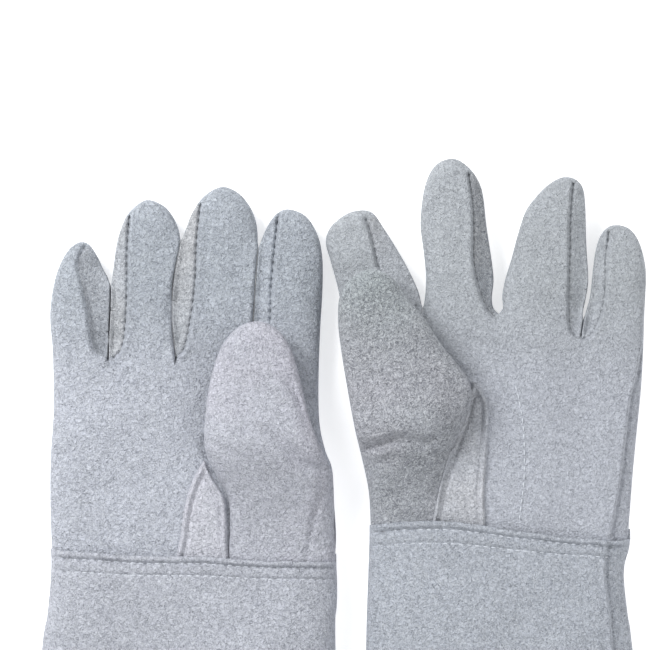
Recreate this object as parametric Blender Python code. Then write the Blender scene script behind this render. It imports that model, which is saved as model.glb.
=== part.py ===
"""A pair of grey split-leather welding gauntlets, lying palm up side by side.

Each glove is a flat-laid assembly of leather panels: a palm panel and a back panel with four finger
stubs, fourchettes between the fingers, a wing thumb on its own base, a patch beside the thumb, a
collar at the wrist seam and a two-panel gauntlet cuff. The fingers bend at their middle crease, the
thumb lifts at its base and the hand bends at the wrist.

Glove coordinates are millimetres from the middle of that glove's wrist seam, +Y to the fingertips.
"""

import math

import bmesh
import bpy
import numpy as np

MM = 0.001

# Driving dimensions, in millimetres.
LEATHER = 1.5
LINING = 0.8
CLEARANCE = 0.3
HAND_THICKNESS = 23.0
HAND_SEAM_HEIGHT = 11.5
THUMB_BOTTOM = 25.2
THUMB_TOP = 46.0
THUMB_SEAM_HEIGHT = 35.5
THUMB_BASE_END = 24.2
COLLAR_TOP = 26.0
COLLAR_LENGTH = 24.0
CUFF_LENGTH = 164.0
CUFF_MOUTH_TOP = 38.0
EDGE_ROUND = 8.0
FOURCHETTE_HEIGHT = 9.0
CROTCH_RADIUS = 0.9
PATCH_THICKNESS = 1.3
PAIR_SHIFT = (-5.4, 98.4)

# How finely outlines are drawn, and the shares of an edge's rounding at which it gets a row of points.
OUTLINE_STEP = 7.0
LEAST_STEP = 2.3
LIFTS = (0, 0.5, 1)

# A rim offset too small to matter, whose sign still says on which side of the seam a rim lies.
NO_RISE = 1e-6
GLOVE_ORIGIN = (0.0, 0.0, 0.0)

# Surfaces: base colour and roughness.
SPLIT_LEATHER = ((0.52, 0.55, 0.59), 0.95)
COTTON = ((0.80, 0.79, 0.75), 0.9)

# Each finger's edge runs from the crotch on its -X side, over the tip, to the crotch on its +X side.
# The outer fingers' edges start or end at the wrist seam. `crease` is how far the middle crease lies
# from the finger's root, along the line from root to tip.
RIGHT_GLOVE = {
    "name": "right",
    "origin": (-68.6, -119.6),
    "fingers": [
        {
            "name": "little",
            "root": (-59.0, 102.4),
            "tip": (-59.0, 162.2),
            "crease": 27.0,
            "edge": [
                (-73.8, 0), (-74.4, 49), (-73.3, 75), (-73.8, 104), (-74.4, 132), (-70.4, 149),
                (-65, 158.5), (-58, 162.2), (-51.5, 158), (-47.5, 148), (-45.2, 137), (-45.2, 118),
            ],
        },
        {
            "name": "ring",
            "root": (-26.0, 102.7),
            "tip": (-25.0, 184.6),
            "crease": 37.0,
            "edge": [
                (-43.0, 120), (-43.0, 140), (-39.8, 165), (-34.3, 178.4), (-25, 184.6),
                (-15.6, 181), (-10.6, 173), (-8.4, 164), (-11.0, 153), (-13.0, 137), (-12.0, 116),
            ],
        },
        {
            "name": "middle",
            "root": (11.0, 106.4),
            "tip": (15.1, 191.4),
            "crease": 38.0,
            "edge": [
                (-10.0, 118), (-10.6, 137), (-8.2, 153), (-5.0, 166), (-1.2, 178.4), (5.7, 187.4),
                (15.1, 191.4), (24.4, 185.6), (30.7, 174.2), (32.0, 158.6), (30.8, 140), (29.8, 122),
            ],
        },
        {
            "name": "index",
            "root": (48.0, 110.0),
            "tip": (49.6, 179.9),
            "crease": 31.0,
            "edge": [
                (31.8, 123), (33.0, 140), (34.4, 158.6), (37.8, 170), (42.6, 177.3), (49.4, 179.9),
                (58.2, 176.3), (64.5, 166.4), (66.6, 153), (66.4, 135), (65, 111), (64.5, 88),
                (65.2, 68), (68.8, 54), (72.4, 44), (73, 26), (73.8, 0),
            ],
        },
    ],
    "crotches": [(-44.0, 102.5), (-10.6, 104.0), (30.9, 109.0)],
    "thumb_side": 1,
    "thumb_hinge": ((6.5, 54.0), (68.5, 51.0)),
    "thumb_edge": [
        (6.5, 54), (6.8, 70), (9.9, 91), (15.1, 107.6), (23, 117.5), (33.8, 121.2), (43, 118),
        (49.5, 110), (54.6, 95.7), (58.6, 78), (63.2, 63), (68.5, 51),
    ],
    "thumb_tip": (33.8, 121.2),
    "thumb_inner_wall": [(6.5, 54), (9.4, 44), (18.2, 29.6), (17.7, 0)],
    "patch": [
        (6.3, 50.4), (-1, 39), (-4.2, 28.6), (-6.2, 17.7), (-6.8, 0.5), (16.4, 0.5), (16.8, 29),
        (8.2, 43),
    ],
    "cuff_half_widths": ((-73.8, 73.8), (-92.0, 80.0)),
}

LEFT_GLOVE = {
    "name": "left",
    "origin": (89.4, -106.6),
    "fingers": [
        {
            "name": "index",
            "root": (-59.0, 116.0),
            "tip": (-74.0, 165.9),
            "crease": 24.0,
            "edge": [
                (-65, 0), (-66, 18), (-70, 38), (-74.8, 60), (-77.5, 85), (-79.5, 108),
                (-82.5, 125), (-86.5, 139), (-89.2, 150), (-86.6, 157.5), (-79.5, 163.2),
                (-71.5, 165.6), (-62.8, 161.6), (-55.1, 148.2), (-46.2, 133),
            ],
        },
        {
            "name": "middle",
            "root": (-17.6, 113.9),
            "tip": (-21.8, 193.4),
            "crease": 36.0,
            "edge": [
                (-37.0, 128), (-36.4, 140), (-38.8, 161), (-38, 175.8), (-31.7, 188.2),
                (-21.8, 193.4), (-12.4, 184.5), (-7.2, 174), (-4.9, 154), (-1.6, 130),
            ],
        },
        {
            "name": "ring",
            "root": (22.5, 105.8),
            "tip": (36.9, 183.6),
            "crease": 36.0,
            "edge": [
                (4.4, 127), (8.8, 143), (16.1, 166.5), (25, 177.8), (36.0, 183.6), (43.0, 180.5),
                (45.6, 170), (47, 143), (46.6, 128), (44.2, 113),
            ],
        },
        {
            "name": "little",
            "root": (59.6, 99.6),
            "tip": (64.5, 158.6),
            "crease": 27.0,
            "edge": [
                (47.4, 115), (50.2, 128), (53.6, 147), (57.6, 155.4), (64.2, 158.6),
                (72.1, 151.8), (77, 140.9), (77.5, 130), (76.4, 112), (76.4, 88), (76, 70),
                (74, 50), (71.5, 30), (69.5, 0),
            ],
        },
    ],
    "crotches": [(-38.6, 115.0), (2.1, 112.5), (43.4, 99.5)],
    "thumb_side": -1,
    "thumb_hinge": ((-73.2, 46.0), (-9.5, 63.0)),
    "thumb_edge": [
        (-73.2, 46.0), (-76.7, 67), (-81, 93), (-82.7, 109), (-81.6, 122), (-75.6, 131),
        (-65.8, 135.2), (-55.9, 131.6), (-45, 118.8), (-37.4, 109), (-29.6, 97), (-20.8, 86),
        (-12.5, 76), (-9.5, 63.0),
    ],
    "thumb_tip": (-65.8, 135.2),
    "thumb_inner_wall": [(-9.5, 63), (-18.9, 51.5), (-23.4, 35.6), (-28.6, 19.8), (-30.7, 0)],
    "patch": [
        (-7.4, 66), (-3.8, 62), (-3.6, 46.3), (-4.7, 30.2), (-8.3, 0.5), (-29.5, 0.5),
        (-27.4, 20), (-22.2, 36), (-17.6, 51.5), (-9.0, 61.5),
    ],
    "cuff_half_widths": ((-65.0, 69.5), (-74.0, 82.0)),
}


def material(name, finish):
    """A piece's own plain surface: dyed suede leather or cotton."""
    colour, roughness = finish
    made = bpy.data.materials.new(name)
    made.use_nodes = True
    shader = made.node_tree.nodes["Principled BSDF"]
    shader.inputs["Base Color"].default_value = (*colour, 1)
    shader.inputs["Roughness"].default_value = roughness
    shader.inputs["Metallic"].default_value = 0
    return made


def smooth_curve(points, step):
    """A Catmull-Rom curve through the points, read about every `step` millimetres."""
    p = np.array(points, float)
    p = np.vstack([2 * p[0] - p[1], p, 2 * p[-1] - p[-2]])
    fine = []
    for i in range(1, len(p) - 2):
        t = np.linspace(0, 1, 12, endpoint=False)[:, None]
        a, b, c, d = p[i - 1], p[i], p[i + 1], p[i + 2]
        square, cube = 2 * a - 5 * b + 4 * c - d, 3 * b - a - 3 * c + d
        fine.append(0.5 * (2 * b + (c - a) * t + square * t**2 + cube * t**3))
    fine = np.vstack([*fine, p[-2]])
    return resampled(fine, step)


def resampled(line, step):
    """The same line with evenly spaced points."""
    along = np.concatenate([[0], np.cumsum(np.linalg.norm(np.diff(line, axis=0), axis=1))])
    at = np.linspace(0, along[-1], max(2, round(along[-1] / step) + 1))
    return np.stack([np.interp(at, along, line[:, k]) for k in (0, 1)], axis=1)


def unit(v):
    v = np.array(v, float)
    return v / np.linalg.norm(v)


def split_at(line, point, direction):
    """The parts of a line that crosses the plane through point twice: before, beyond and after it."""
    far = (line - point) @ direction
    crossings = [i for i in range(len(line) - 1) if far[i] * far[i + 1] < 0]
    first, last = crossings[0], crossings[-1]

    def crossing(i):
        share = far[i] / (far[i] - far[i + 1])
        return line[i] + share * (line[i + 1] - line[i])

    enter, leave = crossing(first), crossing(last)
    return (
        np.vstack([line[: first + 1], enter]),
        np.vstack([enter, line[first + 1 : last + 1], leave]),
        np.vstack([leave, line[last + 1 :]]),
    )


def without_crowding(line, least):
    """Drops inner points that lie closer than `least` to the one before or to the end."""
    kept = [line[0]]
    for p in line[1:-1]:
        if np.linalg.norm(p - kept[-1]) > least and np.linalg.norm(p - line[-1]) > least:
            kept.append(p)
    return np.array([*kept, line[-1]])


def inward(line, start=None, end=None):
    """Unit vectors to the right of the line, which is into a panel whose edge runs clockwise."""
    d = np.gradient(line, axis=0)
    d = d / np.linalg.norm(d, axis=1)[:, None]
    n = np.stack([d[:, 1], -d[:, 0]], axis=1)
    if start is not None:
        n[0] = start
    if end is not None:
        n[-1] = end
    return n


class Run:
    """A stretch of a panel's sewn edge: its points, the directions inward and the rim's height."""

    def __init__(self, line, into, rim):
        self.line = line
        self.into = into
        self.rim = rim if callable(rim) else (lambda p, z=rim: z)

    def ring(self, lift, round_to, flat):
        """The edge's points at one step of the rounding, lift 0 being the rim and 1 the flat face.

        With each comes the direction through the leather there, from the outside in.
        """
        turn = lift * math.pi / 2
        points = self.line + round_to * (1 - math.cos(turn)) * self.into
        rims = np.array([self.rim(p) for p in self.line])
        rise = np.array([flat(p) for p in points]) - rims
        z = rims + rise * math.sin(turn)
        through = np.column_stack([self.into * math.cos(turn), -np.sign(rise) * math.sin(turn)])
        return np.column_stack([points, z]), through


def boundary(faces):
    """The directed edges that only one face uses."""
    edges = [(f[i], f[(i + 1) % len(f)]) for f in faces for i in range(len(f))]
    known = set(edges)
    return [e for e in edges if (e[1], e[0]) not in known]


def closed_panel(name, outside, through, faces, thickness, origin, finish=SPLIT_LEATHER):
    """A sheet of faces given thickness along `through`, closed at its edges, in one named object."""
    outside = np.array(outside)
    inside = outside + thickness * np.array(through)
    count = len(outside)
    solid = list(faces)
    solid += [tuple(i + count for i in reversed(f)) for f in faces]
    solid += [(b, a, a + count, b + count) for a, b in boundary(faces)]
    mesh = bpy.data.meshes.new(name)
    points = (np.vstack([outside, inside]) - np.array(origin)) * MM
    mesh.from_pydata(points.tolist(), [], solid)
    work = bmesh.new()
    work.from_mesh(mesh)
    bmesh.ops.recalc_face_normals(work, faces=work.faces)
    work.to_mesh(mesh)
    work.free()
    mesh.materials.append(material(name, finish))
    made = bpy.data.objects.new(name, mesh)
    bpy.context.scene.collection.objects.link(made)
    return made


def shell(name, runs, flat, origin, round_to=EDGE_ROUND, notch=()):
    """Half a flat-laid tube: rounded sewn edges, open between the runs, and one flat face.

    The flat face also follows the points of `notch`, which come after the last run and have no rim.
    """
    verts, through, faces, loop = [], [], [], []
    for run in runs:
        count, base = len(run.line), len(verts)
        for lift in LIFTS:
            points, directions = run.ring(lift, round_to, flat)
            verts += points.tolist()
            through += directions.tolist()
        for k in range(len(LIFTS) - 1):
            for i in range(count - 1):
                a = base + k * count + i
                faces.append((a, a + 1, a + 1 + count, a + count))
        loop += range(base + (len(LIFTS) - 1) * count, base + len(LIFTS) * count)
    loop += range(len(verts), len(verts) + len(notch))
    verts += [(x, y, flat((x, y))) for x, y in notch]
    through += [through[loop[0]]] * len(notch)
    faces.append(tuple(loop))
    return closed_panel(name, verts, through, faces, LEATHER, origin)


def strip(name, run, low, high, origin):
    """An upright strip that follows a sewn edge, thickened into the glove."""
    count = len(run.line)
    verts = [(x, y, z) for z in (low, high) for x, y in run.line]
    through = [(x, y, 0) for x, y in run.into] * 2
    faces = [(i, i + 1, i + 1 + count, i + count) for i in range(count - 1)]
    return closed_panel(name, verts, through, faces, LEATHER, origin)


def plate(name, outline, low, thickness, origin, finish=SPLIT_LEATHER):
    """A flat piece of the given outline, lying from `low` up by its thickness."""
    verts = [(x, y, low) for x, y in outline]
    through = [(0, 0, 1)] * len(verts)
    return closed_panel(name, verts, through, [tuple(range(len(verts)))], thickness, origin, finish)


def glove_point(glove, x, y, z):
    """A point of a glove's own coordinates in the pair's frame, in millimetres."""
    return (
        x + glove["origin"][0] + PAIR_SHIFT[0],
        y + glove["origin"][1] + PAIR_SHIFT[1],
        z,
    )


def empty_at(name, glove, point, z):
    """A joint's place: an empty that the moving pieces hang on."""
    made = bpy.data.objects.new(name, None)
    made.location = np.array(glove_point(glove, *point, z)) * MM
    bpy.context.scene.collection.objects.link(made)
    return made


def place(pieces, parent, glove, origin):
    """Hangs pieces, whose meshes are measured from `origin`, on their joint's empty."""
    for piece in pieces:
        piece.parent = parent
        world = np.array(glove_point(glove, *origin)) * MM
        piece.location = world - np.array(parent.location)


def finger_parts(glove):
    """Every finger's edge, cut at its middle crease into hand side, tip and hand side."""
    crotches = glove["crotches"]
    made = []
    for i, finger in enumerate(glove["fingers"]):
        points = list(finger["edge"])
        if i > 0:
            x, y = crotches[i - 1]
            points.insert(0, (x + CROTCH_RADIUS, y))
        if i < len(crotches):
            x, y = crotches[i]
            points.append((x - CROTCH_RADIUS, y))
        root, tip = np.array(finger["root"]), np.array(finger["tip"])
        along = unit(tip - root)
        across = np.array([along[1], -along[0]])
        crease = root + along * finger["crease"]
        fine = smooth_curve(points, 1.0)
        before, beyond, after = split_at(fine, crease, along)
        made.append(
            {
                "name": finger["name"],
                "along": along,
                "across": across,
                "crease": crease,
                "before": before - along * CLEARANCE,
                "beyond": beyond + along * CLEARANCE,
                "after": after - along * CLEARANCE,
            }
        )
    return made


def coarse(line):
    return without_crowding(resampled(line, OUTLINE_STEP), LEAST_STEP)


def crotch_line(left, right, crotch):
    """The edge from one finger's crease down round the crotch and up to the next finger's crease."""
    turns = np.linspace(math.pi, 2 * math.pi, 5)[1:-1]
    arc = [
        (crotch[0] + CROTCH_RADIUS * math.cos(t), crotch[1] + CROTCH_RADIUS * math.sin(t))
        for t in turns
    ]
    return np.vstack([coarse(left["after"]), arc, coarse(right["before"])])


def hand_runs(parts, glove, rim_outer, rim_crotch, outer_left, outer_right, start=None, end=None):
    """The hand's sewn edges, clockwise from the wrist on the -X side."""
    runs = [Run(outer_left, inward(outer_left, start, parts[0]["across"]), rim_outer)]
    for left, right, crotch in zip(parts, parts[1:], glove["crotches"]):
        line = crotch_line(left, right, crotch)
        into = inward(line, start=-left["across"], end=right["across"])
        runs.append(Run(line, into, rim_crotch))
    runs.append(Run(outer_right, inward(outer_right, -parts[-1]["across"], end), rim_outer))
    return runs


def hinge_axes(hinge):
    """The directions along a hinge line, towards +X, and across it, towards the fingertips."""
    along = unit(np.array(hinge[1]) - np.array(hinge[0]))
    return along, np.array([-along[1], along[0]])


def cut_by_hinge(line, hinge):
    """An outer edge's parts below and above the hinge line, each in the edge's own order."""
    up = hinge_axes(hinge)[1]
    far = (line - np.array(hinge[0])) @ up
    i = int(np.flatnonzero(far[:-1] * far[1:] < 0)[0])
    crossing = line[i] + (line[i + 1] - line[i]) * far[i] / (far[i] - far[i + 1])
    rising = far[0] < 0
    away = up * CLEARANCE
    first = np.vstack([line[: i + 1], crossing - away if rising else crossing + away])
    last = np.vstack([crossing + away if rising else crossing - away, line[i + 1 :]])
    first, last = without_crowding(first, LEAST_STEP), without_crowding(last, LEAST_STEP)
    return (first, last) if rising else (last, first)


def tip_runs(part, rim_first, rim_last):
    """A fingertip's sewn edge as one run; the rim height changes at the tip's highest point."""
    line = coarse(part["beyond"])
    into = inward(line, start=part["across"], end=-part["across"])
    top = float(((line - part["crease"]) @ part["along"]).max())

    def rim(p):
        from_axis = (p - part["crease"]) @ part["across"]
        below_tip = top - (p - part["crease"]) @ part["along"]
        wanted = rim_first if from_axis < 0 else rim_last
        share = min(1.0, max(0.0, (below_tip - FOURCHETTE_HEIGHT) / FOURCHETTE_HEIGHT))
        return HAND_SEAM_HEIGHT + wanted * share + math.copysign(CLEARANCE / 2, rim_first + rim_last)

    return line, into, rim, top


def fourchette_on(part, line, into, side, top):
    """The stretch of a fingertip's edge on one side that its fourchette follows, short of the tip."""
    from_axis = (line - part["crease"]) @ part["across"]
    below_tip = top - (line - part["crease"]) @ part["along"]
    keep = (np.sign(from_axis) == side) & (below_tip > 2 * FOURCHETTE_HEIGHT)
    return Run(line[keep], into[keep], 0.0)


def build_fingertips(glove, parts):
    half = FOURCHETTE_HEIGHT / 2
    for i, part in enumerate(parts):
        prefix = f"{glove['name']}_{part['name']}"
        pivot = (*part["crease"], HAND_THICKNESS + CLEARANCE)
        joint = empty_at(f"{prefix}_joint", glove, part["crease"], pivot[2])
        has_left, has_right = i > 0, i < len(parts) - 1
        pieces = []
        for face, sign in (("front", 1), ("back", -1)):
            left_rim = sign * (half + CLEARANCE) if has_left else sign * NO_RISE
            right_rim = sign * (half + CLEARANCE) if has_right else sign * NO_RISE
            line, into, rim, top = tip_runs(part, left_rim, right_rim)
            level = HAND_THICKNESS if sign > 0 else 0.0
            name = f"{prefix}_tip_{face}"
            pieces.append(shell(name, [Run(line, into, rim)], lambda p, z=level: z, pivot))
        for wanted, side, label in ((has_left, -1, "a"), (has_right, 1, "b")):
            if wanted:
                run = fourchette_on(part, line, into, side, top)
                low, high = HAND_SEAM_HEIGHT - half, HAND_SEAM_HEIGHT + half
                pieces.append(strip(f"{prefix}_tip_fourchette_{label}", run, low, high, pivot))
        place(pieces, joint, glove, pivot)


def build_thumb(glove):
    across, along = hinge_axes(glove["thumb_hinge"])
    middle = np.mean(glove["thumb_hinge"], axis=0)
    pivot = (*middle, THUMB_TOP + CLEARANCE)
    joint = empty_at(f"{glove['name']}_thumb_joint", glove, middle, pivot[2])
    line = coarse(smooth_curve(glove["thumb_edge"], 1.0)) + along * CLEARANCE
    into = inward(line, start=across, end=-across)
    pieces = []
    for face, rim, level in (
        ("front", THUMB_SEAM_HEIGHT + CLEARANCE / 2, THUMB_TOP),
        ("back", THUMB_SEAM_HEIGHT - CLEARANCE / 2, THUMB_BOTTOM),
    ):
        name = f"{glove['name']}_thumb_{face}"
        pieces.append(shell(name, [Run(line, into, rim)], lambda p, z=level: z, pivot))
    place(pieces, joint, glove, pivot)


def build_palm(glove, parts, sides, thumb_above):
    """The palm panel, which stops at the thumb's hinge line and at the thumb base's inner wall."""
    half = FOURCHETTE_HEIGHT / 2
    on_right = glove["thumb_side"] > 0
    cut_into = -glove["thumb_side"] * hinge_axes(glove["thumb_hinge"])[0]
    runs = hand_runs(
        parts, glove, HAND_SEAM_HEIGHT + CLEARANCE / 2, HAND_SEAM_HEIGHT + half + CLEARANCE,
        sides[0] if on_right else thumb_above, thumb_above if on_right else sides[1],
        None if on_right else cut_into, cut_into if on_right else None,
    )
    wall = thumb_wall(glove, 2 * CLEARANCE)
    notch = wall if on_right else wall[::-1]
    name = f"{glove['name']}_palm_panel"
    return shell(name, runs, lambda p: HAND_THICKNESS, GLOVE_ORIGIN, notch=notch), runs


def build_back(glove, parts, sides):
    """The back panel, which has the whole hand's outline."""
    rim_crotch = HAND_SEAM_HEIGHT - FOURCHETTE_HEIGHT / 2 - CLEARANCE
    runs = hand_runs(parts, glove, HAND_SEAM_HEIGHT - CLEARANCE / 2, rim_crotch, *sides)
    return shell(f"{glove['name']}_back_panel", runs, lambda p: 0.0, GLOVE_ORIGIN)


def build_fourchettes(glove, parts, crotch_runs):
    """The strips sewn between neighbouring fingers."""
    low = HAND_SEAM_HEIGHT - FOURCHETTE_HEIGHT / 2
    pieces = []
    for run, left, right in zip(crotch_runs, parts, parts[1:]):
        label = f"{glove['name']}_fourchette_{left['name']}_{right['name']}"
        pieces.append(strip(label, run, low, low + FOURCHETTE_HEIGHT, GLOVE_ORIGIN))
    return pieces


def build_glove(glove):
    """One glove: the cuff, the hand with its fingers, and the thumb."""
    name = glove["name"]
    parts = finger_parts(glove)
    root = empty_at(f"{name}_glove", glove, (0, 0), 0)
    sides = coarse(parts[0]["before"]), coarse(parts[-1]["after"])
    sides[0][0, 1] = sides[1][-1, 1] = CLEARANCE
    on_right = glove["thumb_side"] > 0
    below, above = cut_by_hinge(sides[1] if on_right else sides[0], glove["thumb_hinge"])
    palm, palm_runs = build_palm(glove, parts, sides, above)
    patch_bottom = HAND_THICKNESS + CLEARANCE
    patch = plate(f"{name}_thumb_patch", glove["patch"], patch_bottom, PATCH_THICKNESS, GLOVE_ORIGIN)
    pieces = [
        build_back(glove, parts, sides),
        palm,
        *build_fourchettes(glove, parts, palm_runs[1:-1]),
        build_thumb_base(glove, below, on_right, GLOVE_ORIGIN),
        patch,
        *build_linings(glove, on_right, GLOVE_ORIGIN),
        *build_sleeve(f"{name}_collar", glove, -CLEARANCE, -COLLAR_LENGTH + CLEARANCE, GLOVE_ORIGIN),
        *build_sleeve(f"{name}_cuff", glove, -COLLAR_LENGTH - CLEARANCE, -CUFF_LENGTH, GLOVE_ORIGIN),
    ]
    place(pieces, root, glove, GLOVE_ORIGIN)
    build_fingertips(glove, parts)
    build_thumb(glove)


def thumb_wall(glove, away):
    """Where the thumb base meets the palm, from the hinge to the wrist, moved `away` into the palm."""
    wall = coarse(smooth_curve(glove["thumb_inner_wall"], 1.0))
    wall[:, 0] -= glove["thumb_side"] * away
    wall[-1, 1] = CLEARANCE
    return wall


def build_thumb_base(glove, below, on_right, origin):
    """The raised base of the thumb, from its hinge line down to the wrist seam."""
    across, up = hinge_axes(glove["thumb_hinge"])
    reach = np.mean(glove["thumb_hinge"], axis=0) @ up

    def flat(p):
        share = min(1.0, max(0.0, (np.array(p) @ up) / reach))
        return THUMB_BASE_END + (THUMB_TOP - THUMB_BASE_END) * share

    inner = thumb_wall(glove, 0.0)
    inner[0] -= up * CLEARANCE
    low_inner = HAND_THICKNESS - LEATHER
    outer_rim = HAND_SEAM_HEIGHT + CLEARANCE / 2
    if on_right:
        left = Run(inner[::-1], inward(inner[::-1], end=across), low_inner)
        right = Run(below, inward(below, start=-across), outer_rim)
    else:
        left = Run(below, inward(below, end=across), outer_rim)
        right = Run(inner, inward(inner, start=-across), low_inner)
    name = f"{glove['name']}_thumb_base"
    return shell(name, [left, right], flat, origin, round_to=EDGE_ROUND / 2)


def build_linings(glove, on_right, origin):
    """Cotton sheets inside the palm and the back of the hand."""
    inset = EDGE_ROUND + 3 * LEATHER
    top = min(y for x, y in glove["crotches"]) - inset
    left = max(x for x, y in glove["fingers"][0]["edge"] if y < top and x < 0) + inset
    right = min(x for x, y in glove["fingers"][-1]["edge"] if y < top and x > 0) - inset
    wall = [(x - glove["thumb_side"] * inset / 2, y) for x, y in glove["thumb_inner_wall"]]
    low_end = 2 * CLEARANCE
    wall[-1] = (wall[-1][0], low_end)
    level = wall[0][1] + inset / 2
    if on_right:
        palm = [(left, low_end), (left, top), (right, top), (right, level), *wall]
    else:
        palm = [(right, low_end), (right, top), (left, top), (left, level), *wall]
    back = [(left, low_end), (left, top), (right, top), (right, low_end)]
    under_palm = HAND_THICKNESS - LEATHER - CLEARANCE - LINING
    above_back = LEATHER + CLEARANCE
    name = glove["name"]
    return [
        plate(f"{name}_palm_lining", palm, under_palm, LINING, origin, COTTON),
        plate(f"{name}_back_lining", back, above_back, LINING, origin, COTTON),
    ]


def build_sleeve(name, glove, start, end, origin):
    """The front and back panels of a stretch of the cuff between two distances from the wrist seam."""
    (seam_left, seam_right), (mouth_left, mouth_right) = glove["cuff_half_widths"]

    def edge(seam_x, mouth_x, y):
        share = (-y - COLLAR_LENGTH) / (CUFF_LENGTH - COLLAR_LENGTH)
        return seam_x + (mouth_x - seam_x) * max(0.0, share)

    def top(p):
        share = (-p[1] - COLLAR_LENGTH) / (CUFF_LENGTH - COLLAR_LENGTH)
        return COLLAR_TOP + (CUFF_MOUTH_TOP - COLLAR_TOP) * max(0.0, share)

    left = np.array([(edge(seam_left, mouth_left, y), y) for y in (end, start)])
    right = np.array([(edge(seam_right, mouth_right, y), y) for y in (start, end)])
    east, west = np.array([1.0, 0.0]), np.array([-1.0, 0.0])
    pieces = []
    for face, rim, flat in (
        ("front", HAND_SEAM_HEIGHT + CLEARANCE / 2, top),
        ("back", HAND_SEAM_HEIGHT - CLEARANCE / 2, lambda p: 0.0),
    ):
        runs = [
            Run(left, np.array([east, east]), rim),
            Run(right, np.array([west, west]), rim),
        ]
        pieces.append(shell(f"{name}_{face}", runs, flat, origin))
    return pieces


def main():
    for old in list(bpy.data.objects):
        bpy.data.objects.remove(old)
    for glove in (RIGHT_GLOVE, LEFT_GLOVE):
        build_glove(glove)


main()
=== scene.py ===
"""The looks of a pair of grey split-leather welding gauntlets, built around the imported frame.

Each glove's leather is worked out as a sewn shell: an outline in the glove's own millimetres is filled
with triangles, raised like a stretched membrane on its palm side and its back, and pressed in along
the seams and creases. The shells are then cut into the panels that the real glove is sewn from.
"""

import math
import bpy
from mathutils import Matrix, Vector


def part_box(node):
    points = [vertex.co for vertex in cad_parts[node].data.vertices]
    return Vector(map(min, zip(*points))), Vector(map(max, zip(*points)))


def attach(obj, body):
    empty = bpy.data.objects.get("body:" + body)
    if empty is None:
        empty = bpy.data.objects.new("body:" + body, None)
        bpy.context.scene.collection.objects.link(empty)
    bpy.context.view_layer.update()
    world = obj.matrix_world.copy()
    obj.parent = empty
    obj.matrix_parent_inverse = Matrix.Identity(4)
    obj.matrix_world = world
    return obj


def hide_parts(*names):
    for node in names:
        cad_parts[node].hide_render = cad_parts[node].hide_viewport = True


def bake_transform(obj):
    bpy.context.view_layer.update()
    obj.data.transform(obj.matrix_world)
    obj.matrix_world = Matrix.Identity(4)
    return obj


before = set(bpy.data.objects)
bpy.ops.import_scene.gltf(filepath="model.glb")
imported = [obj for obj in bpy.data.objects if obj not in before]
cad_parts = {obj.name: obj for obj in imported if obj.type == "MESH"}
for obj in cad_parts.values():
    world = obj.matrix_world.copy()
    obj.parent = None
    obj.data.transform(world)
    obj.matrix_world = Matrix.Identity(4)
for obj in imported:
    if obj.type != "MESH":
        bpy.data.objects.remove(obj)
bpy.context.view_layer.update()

from types import SimpleNamespace

import bmesh
import bpy
import numpy as np
from mathutils import Vector, noise
from mathutils.bvhtree import BVHTree
from mathutils.geometry import delaunay_2d_cdt

MM = 0.001
WHITE, BLACK = (1, 1, 1), (0, 0, 0)

# Heights above the surface the gloves lie on, in millimetres.
SEAM_HEIGHT = 11.5
PALM_TOP = 23.0
BACK_LOW = 0.15
UNEVEN_ROOM = 0.8
THUMB_FOOT = PALM_TOP - 2.4
THUMB_SEAM = 35.0
THUMB_LOW = 25.4
THUMB_TOP = 45.4
THUMB_END_TOP = 24.4
CUFF_TOP = 25.6
CUFF_MOUTH_TOP = 37.5
LINING_HEIGHTS = (PALM_TOP - 5.5, 3.0)

# The back reaches its full depth sooner than the palm its full height.
BACK_FLATNESS = 1.1

# Lengths, in millimetres. +Y runs from the cuff's lapped edge towards the fingertips.
CUFF_LENGTH = 164.0
COLLAR_MARGIN = 0.3
TUCK = 12.0  # how far the hand's leather goes on inside the cuff
BELOW_WRIST = -70
REACH = 9.0  # how far in from its edge the leather swells,
MOUTH_REACH = 30  # and how much further at the cuff's mouth
BEND = 13.0  # a finger's bend, to each side of its crease
THUMB_BEND = (-16, 10)  # these three from the thumb's hinge line
THUMB_FREE = (-20, 10)
THUMB_LIFT = (-50, 10)
COVERED_FROM = 5
WRIST_BLEND = (-46.0, -6.0)
CROTCH_GAP = 0.12
PRESSED = 1.4  # fingers closer than this touch,
TOUCH_RISE = 4.4  # and the seam rises where they do
STRIP_REACH = 30
FOOT_END = 6
SOFT_EDGE = 7  # the leather's waves begin this far in from the edge,
SEWN_EDGE = 2.2  # and its seams this far
EDGE_FADE = 30
EDGE_ROW, SECOND_ROW, HEM = 3.9, 10.2, 9.0
LINING_IN_CUFF, LINING_IN_HAND = 40, 84
LINING_GAP, LINING_SEAM_ROOM = 4.2, 8
LEATHER = 1.5
LINING = 0.8
STITCH_PITCH = 4.2

# How finely things are divided.
BATCH = 2000
GRID_STEP = 1.0
FRONT_SPACING = 1.7
BACK_SPACING = 2.6
SEAM_SPACING = 1.3
EDGE_RINGS = (0.35, 1.0, 2.0, 3.3)
SEAM_ROWS = (0.6, -0.6, 1.3, -1.3, 2.2, -2.2)
PATCH_SPACING = 1.3
PATCH_RINGS = (0.3, 0.7, 1.2, 1.8, 2.5, 3.2, 3.9, 4.6)
SEAM_TURNS = (0.81, 0.89)
STITCH_SIDES = 6
SETTLING_STEPS = 500
NEAR_EDGE = (1.5, 4.5)

# How far apart points are kept. Rows bend back where less than the SQUARE share of their offset is left.
EDGE_CLEAR, ROW_CLEAR, RING_CLEAR, GRID_CLEAR, SQUARE = 0.7, 0.45, 0.4, 0.6, 0.9

# A thread's cross-sections: how far along it, how thick and how high, the last two in radii.
STITCH_PROFILE = ((0, 0.45, -1.0), (0.16, 0.9, 0.1), (0.5, 1, 0.45), (0.84, 0.9, 0.1), (1, 0.45, -1.0))

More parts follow.
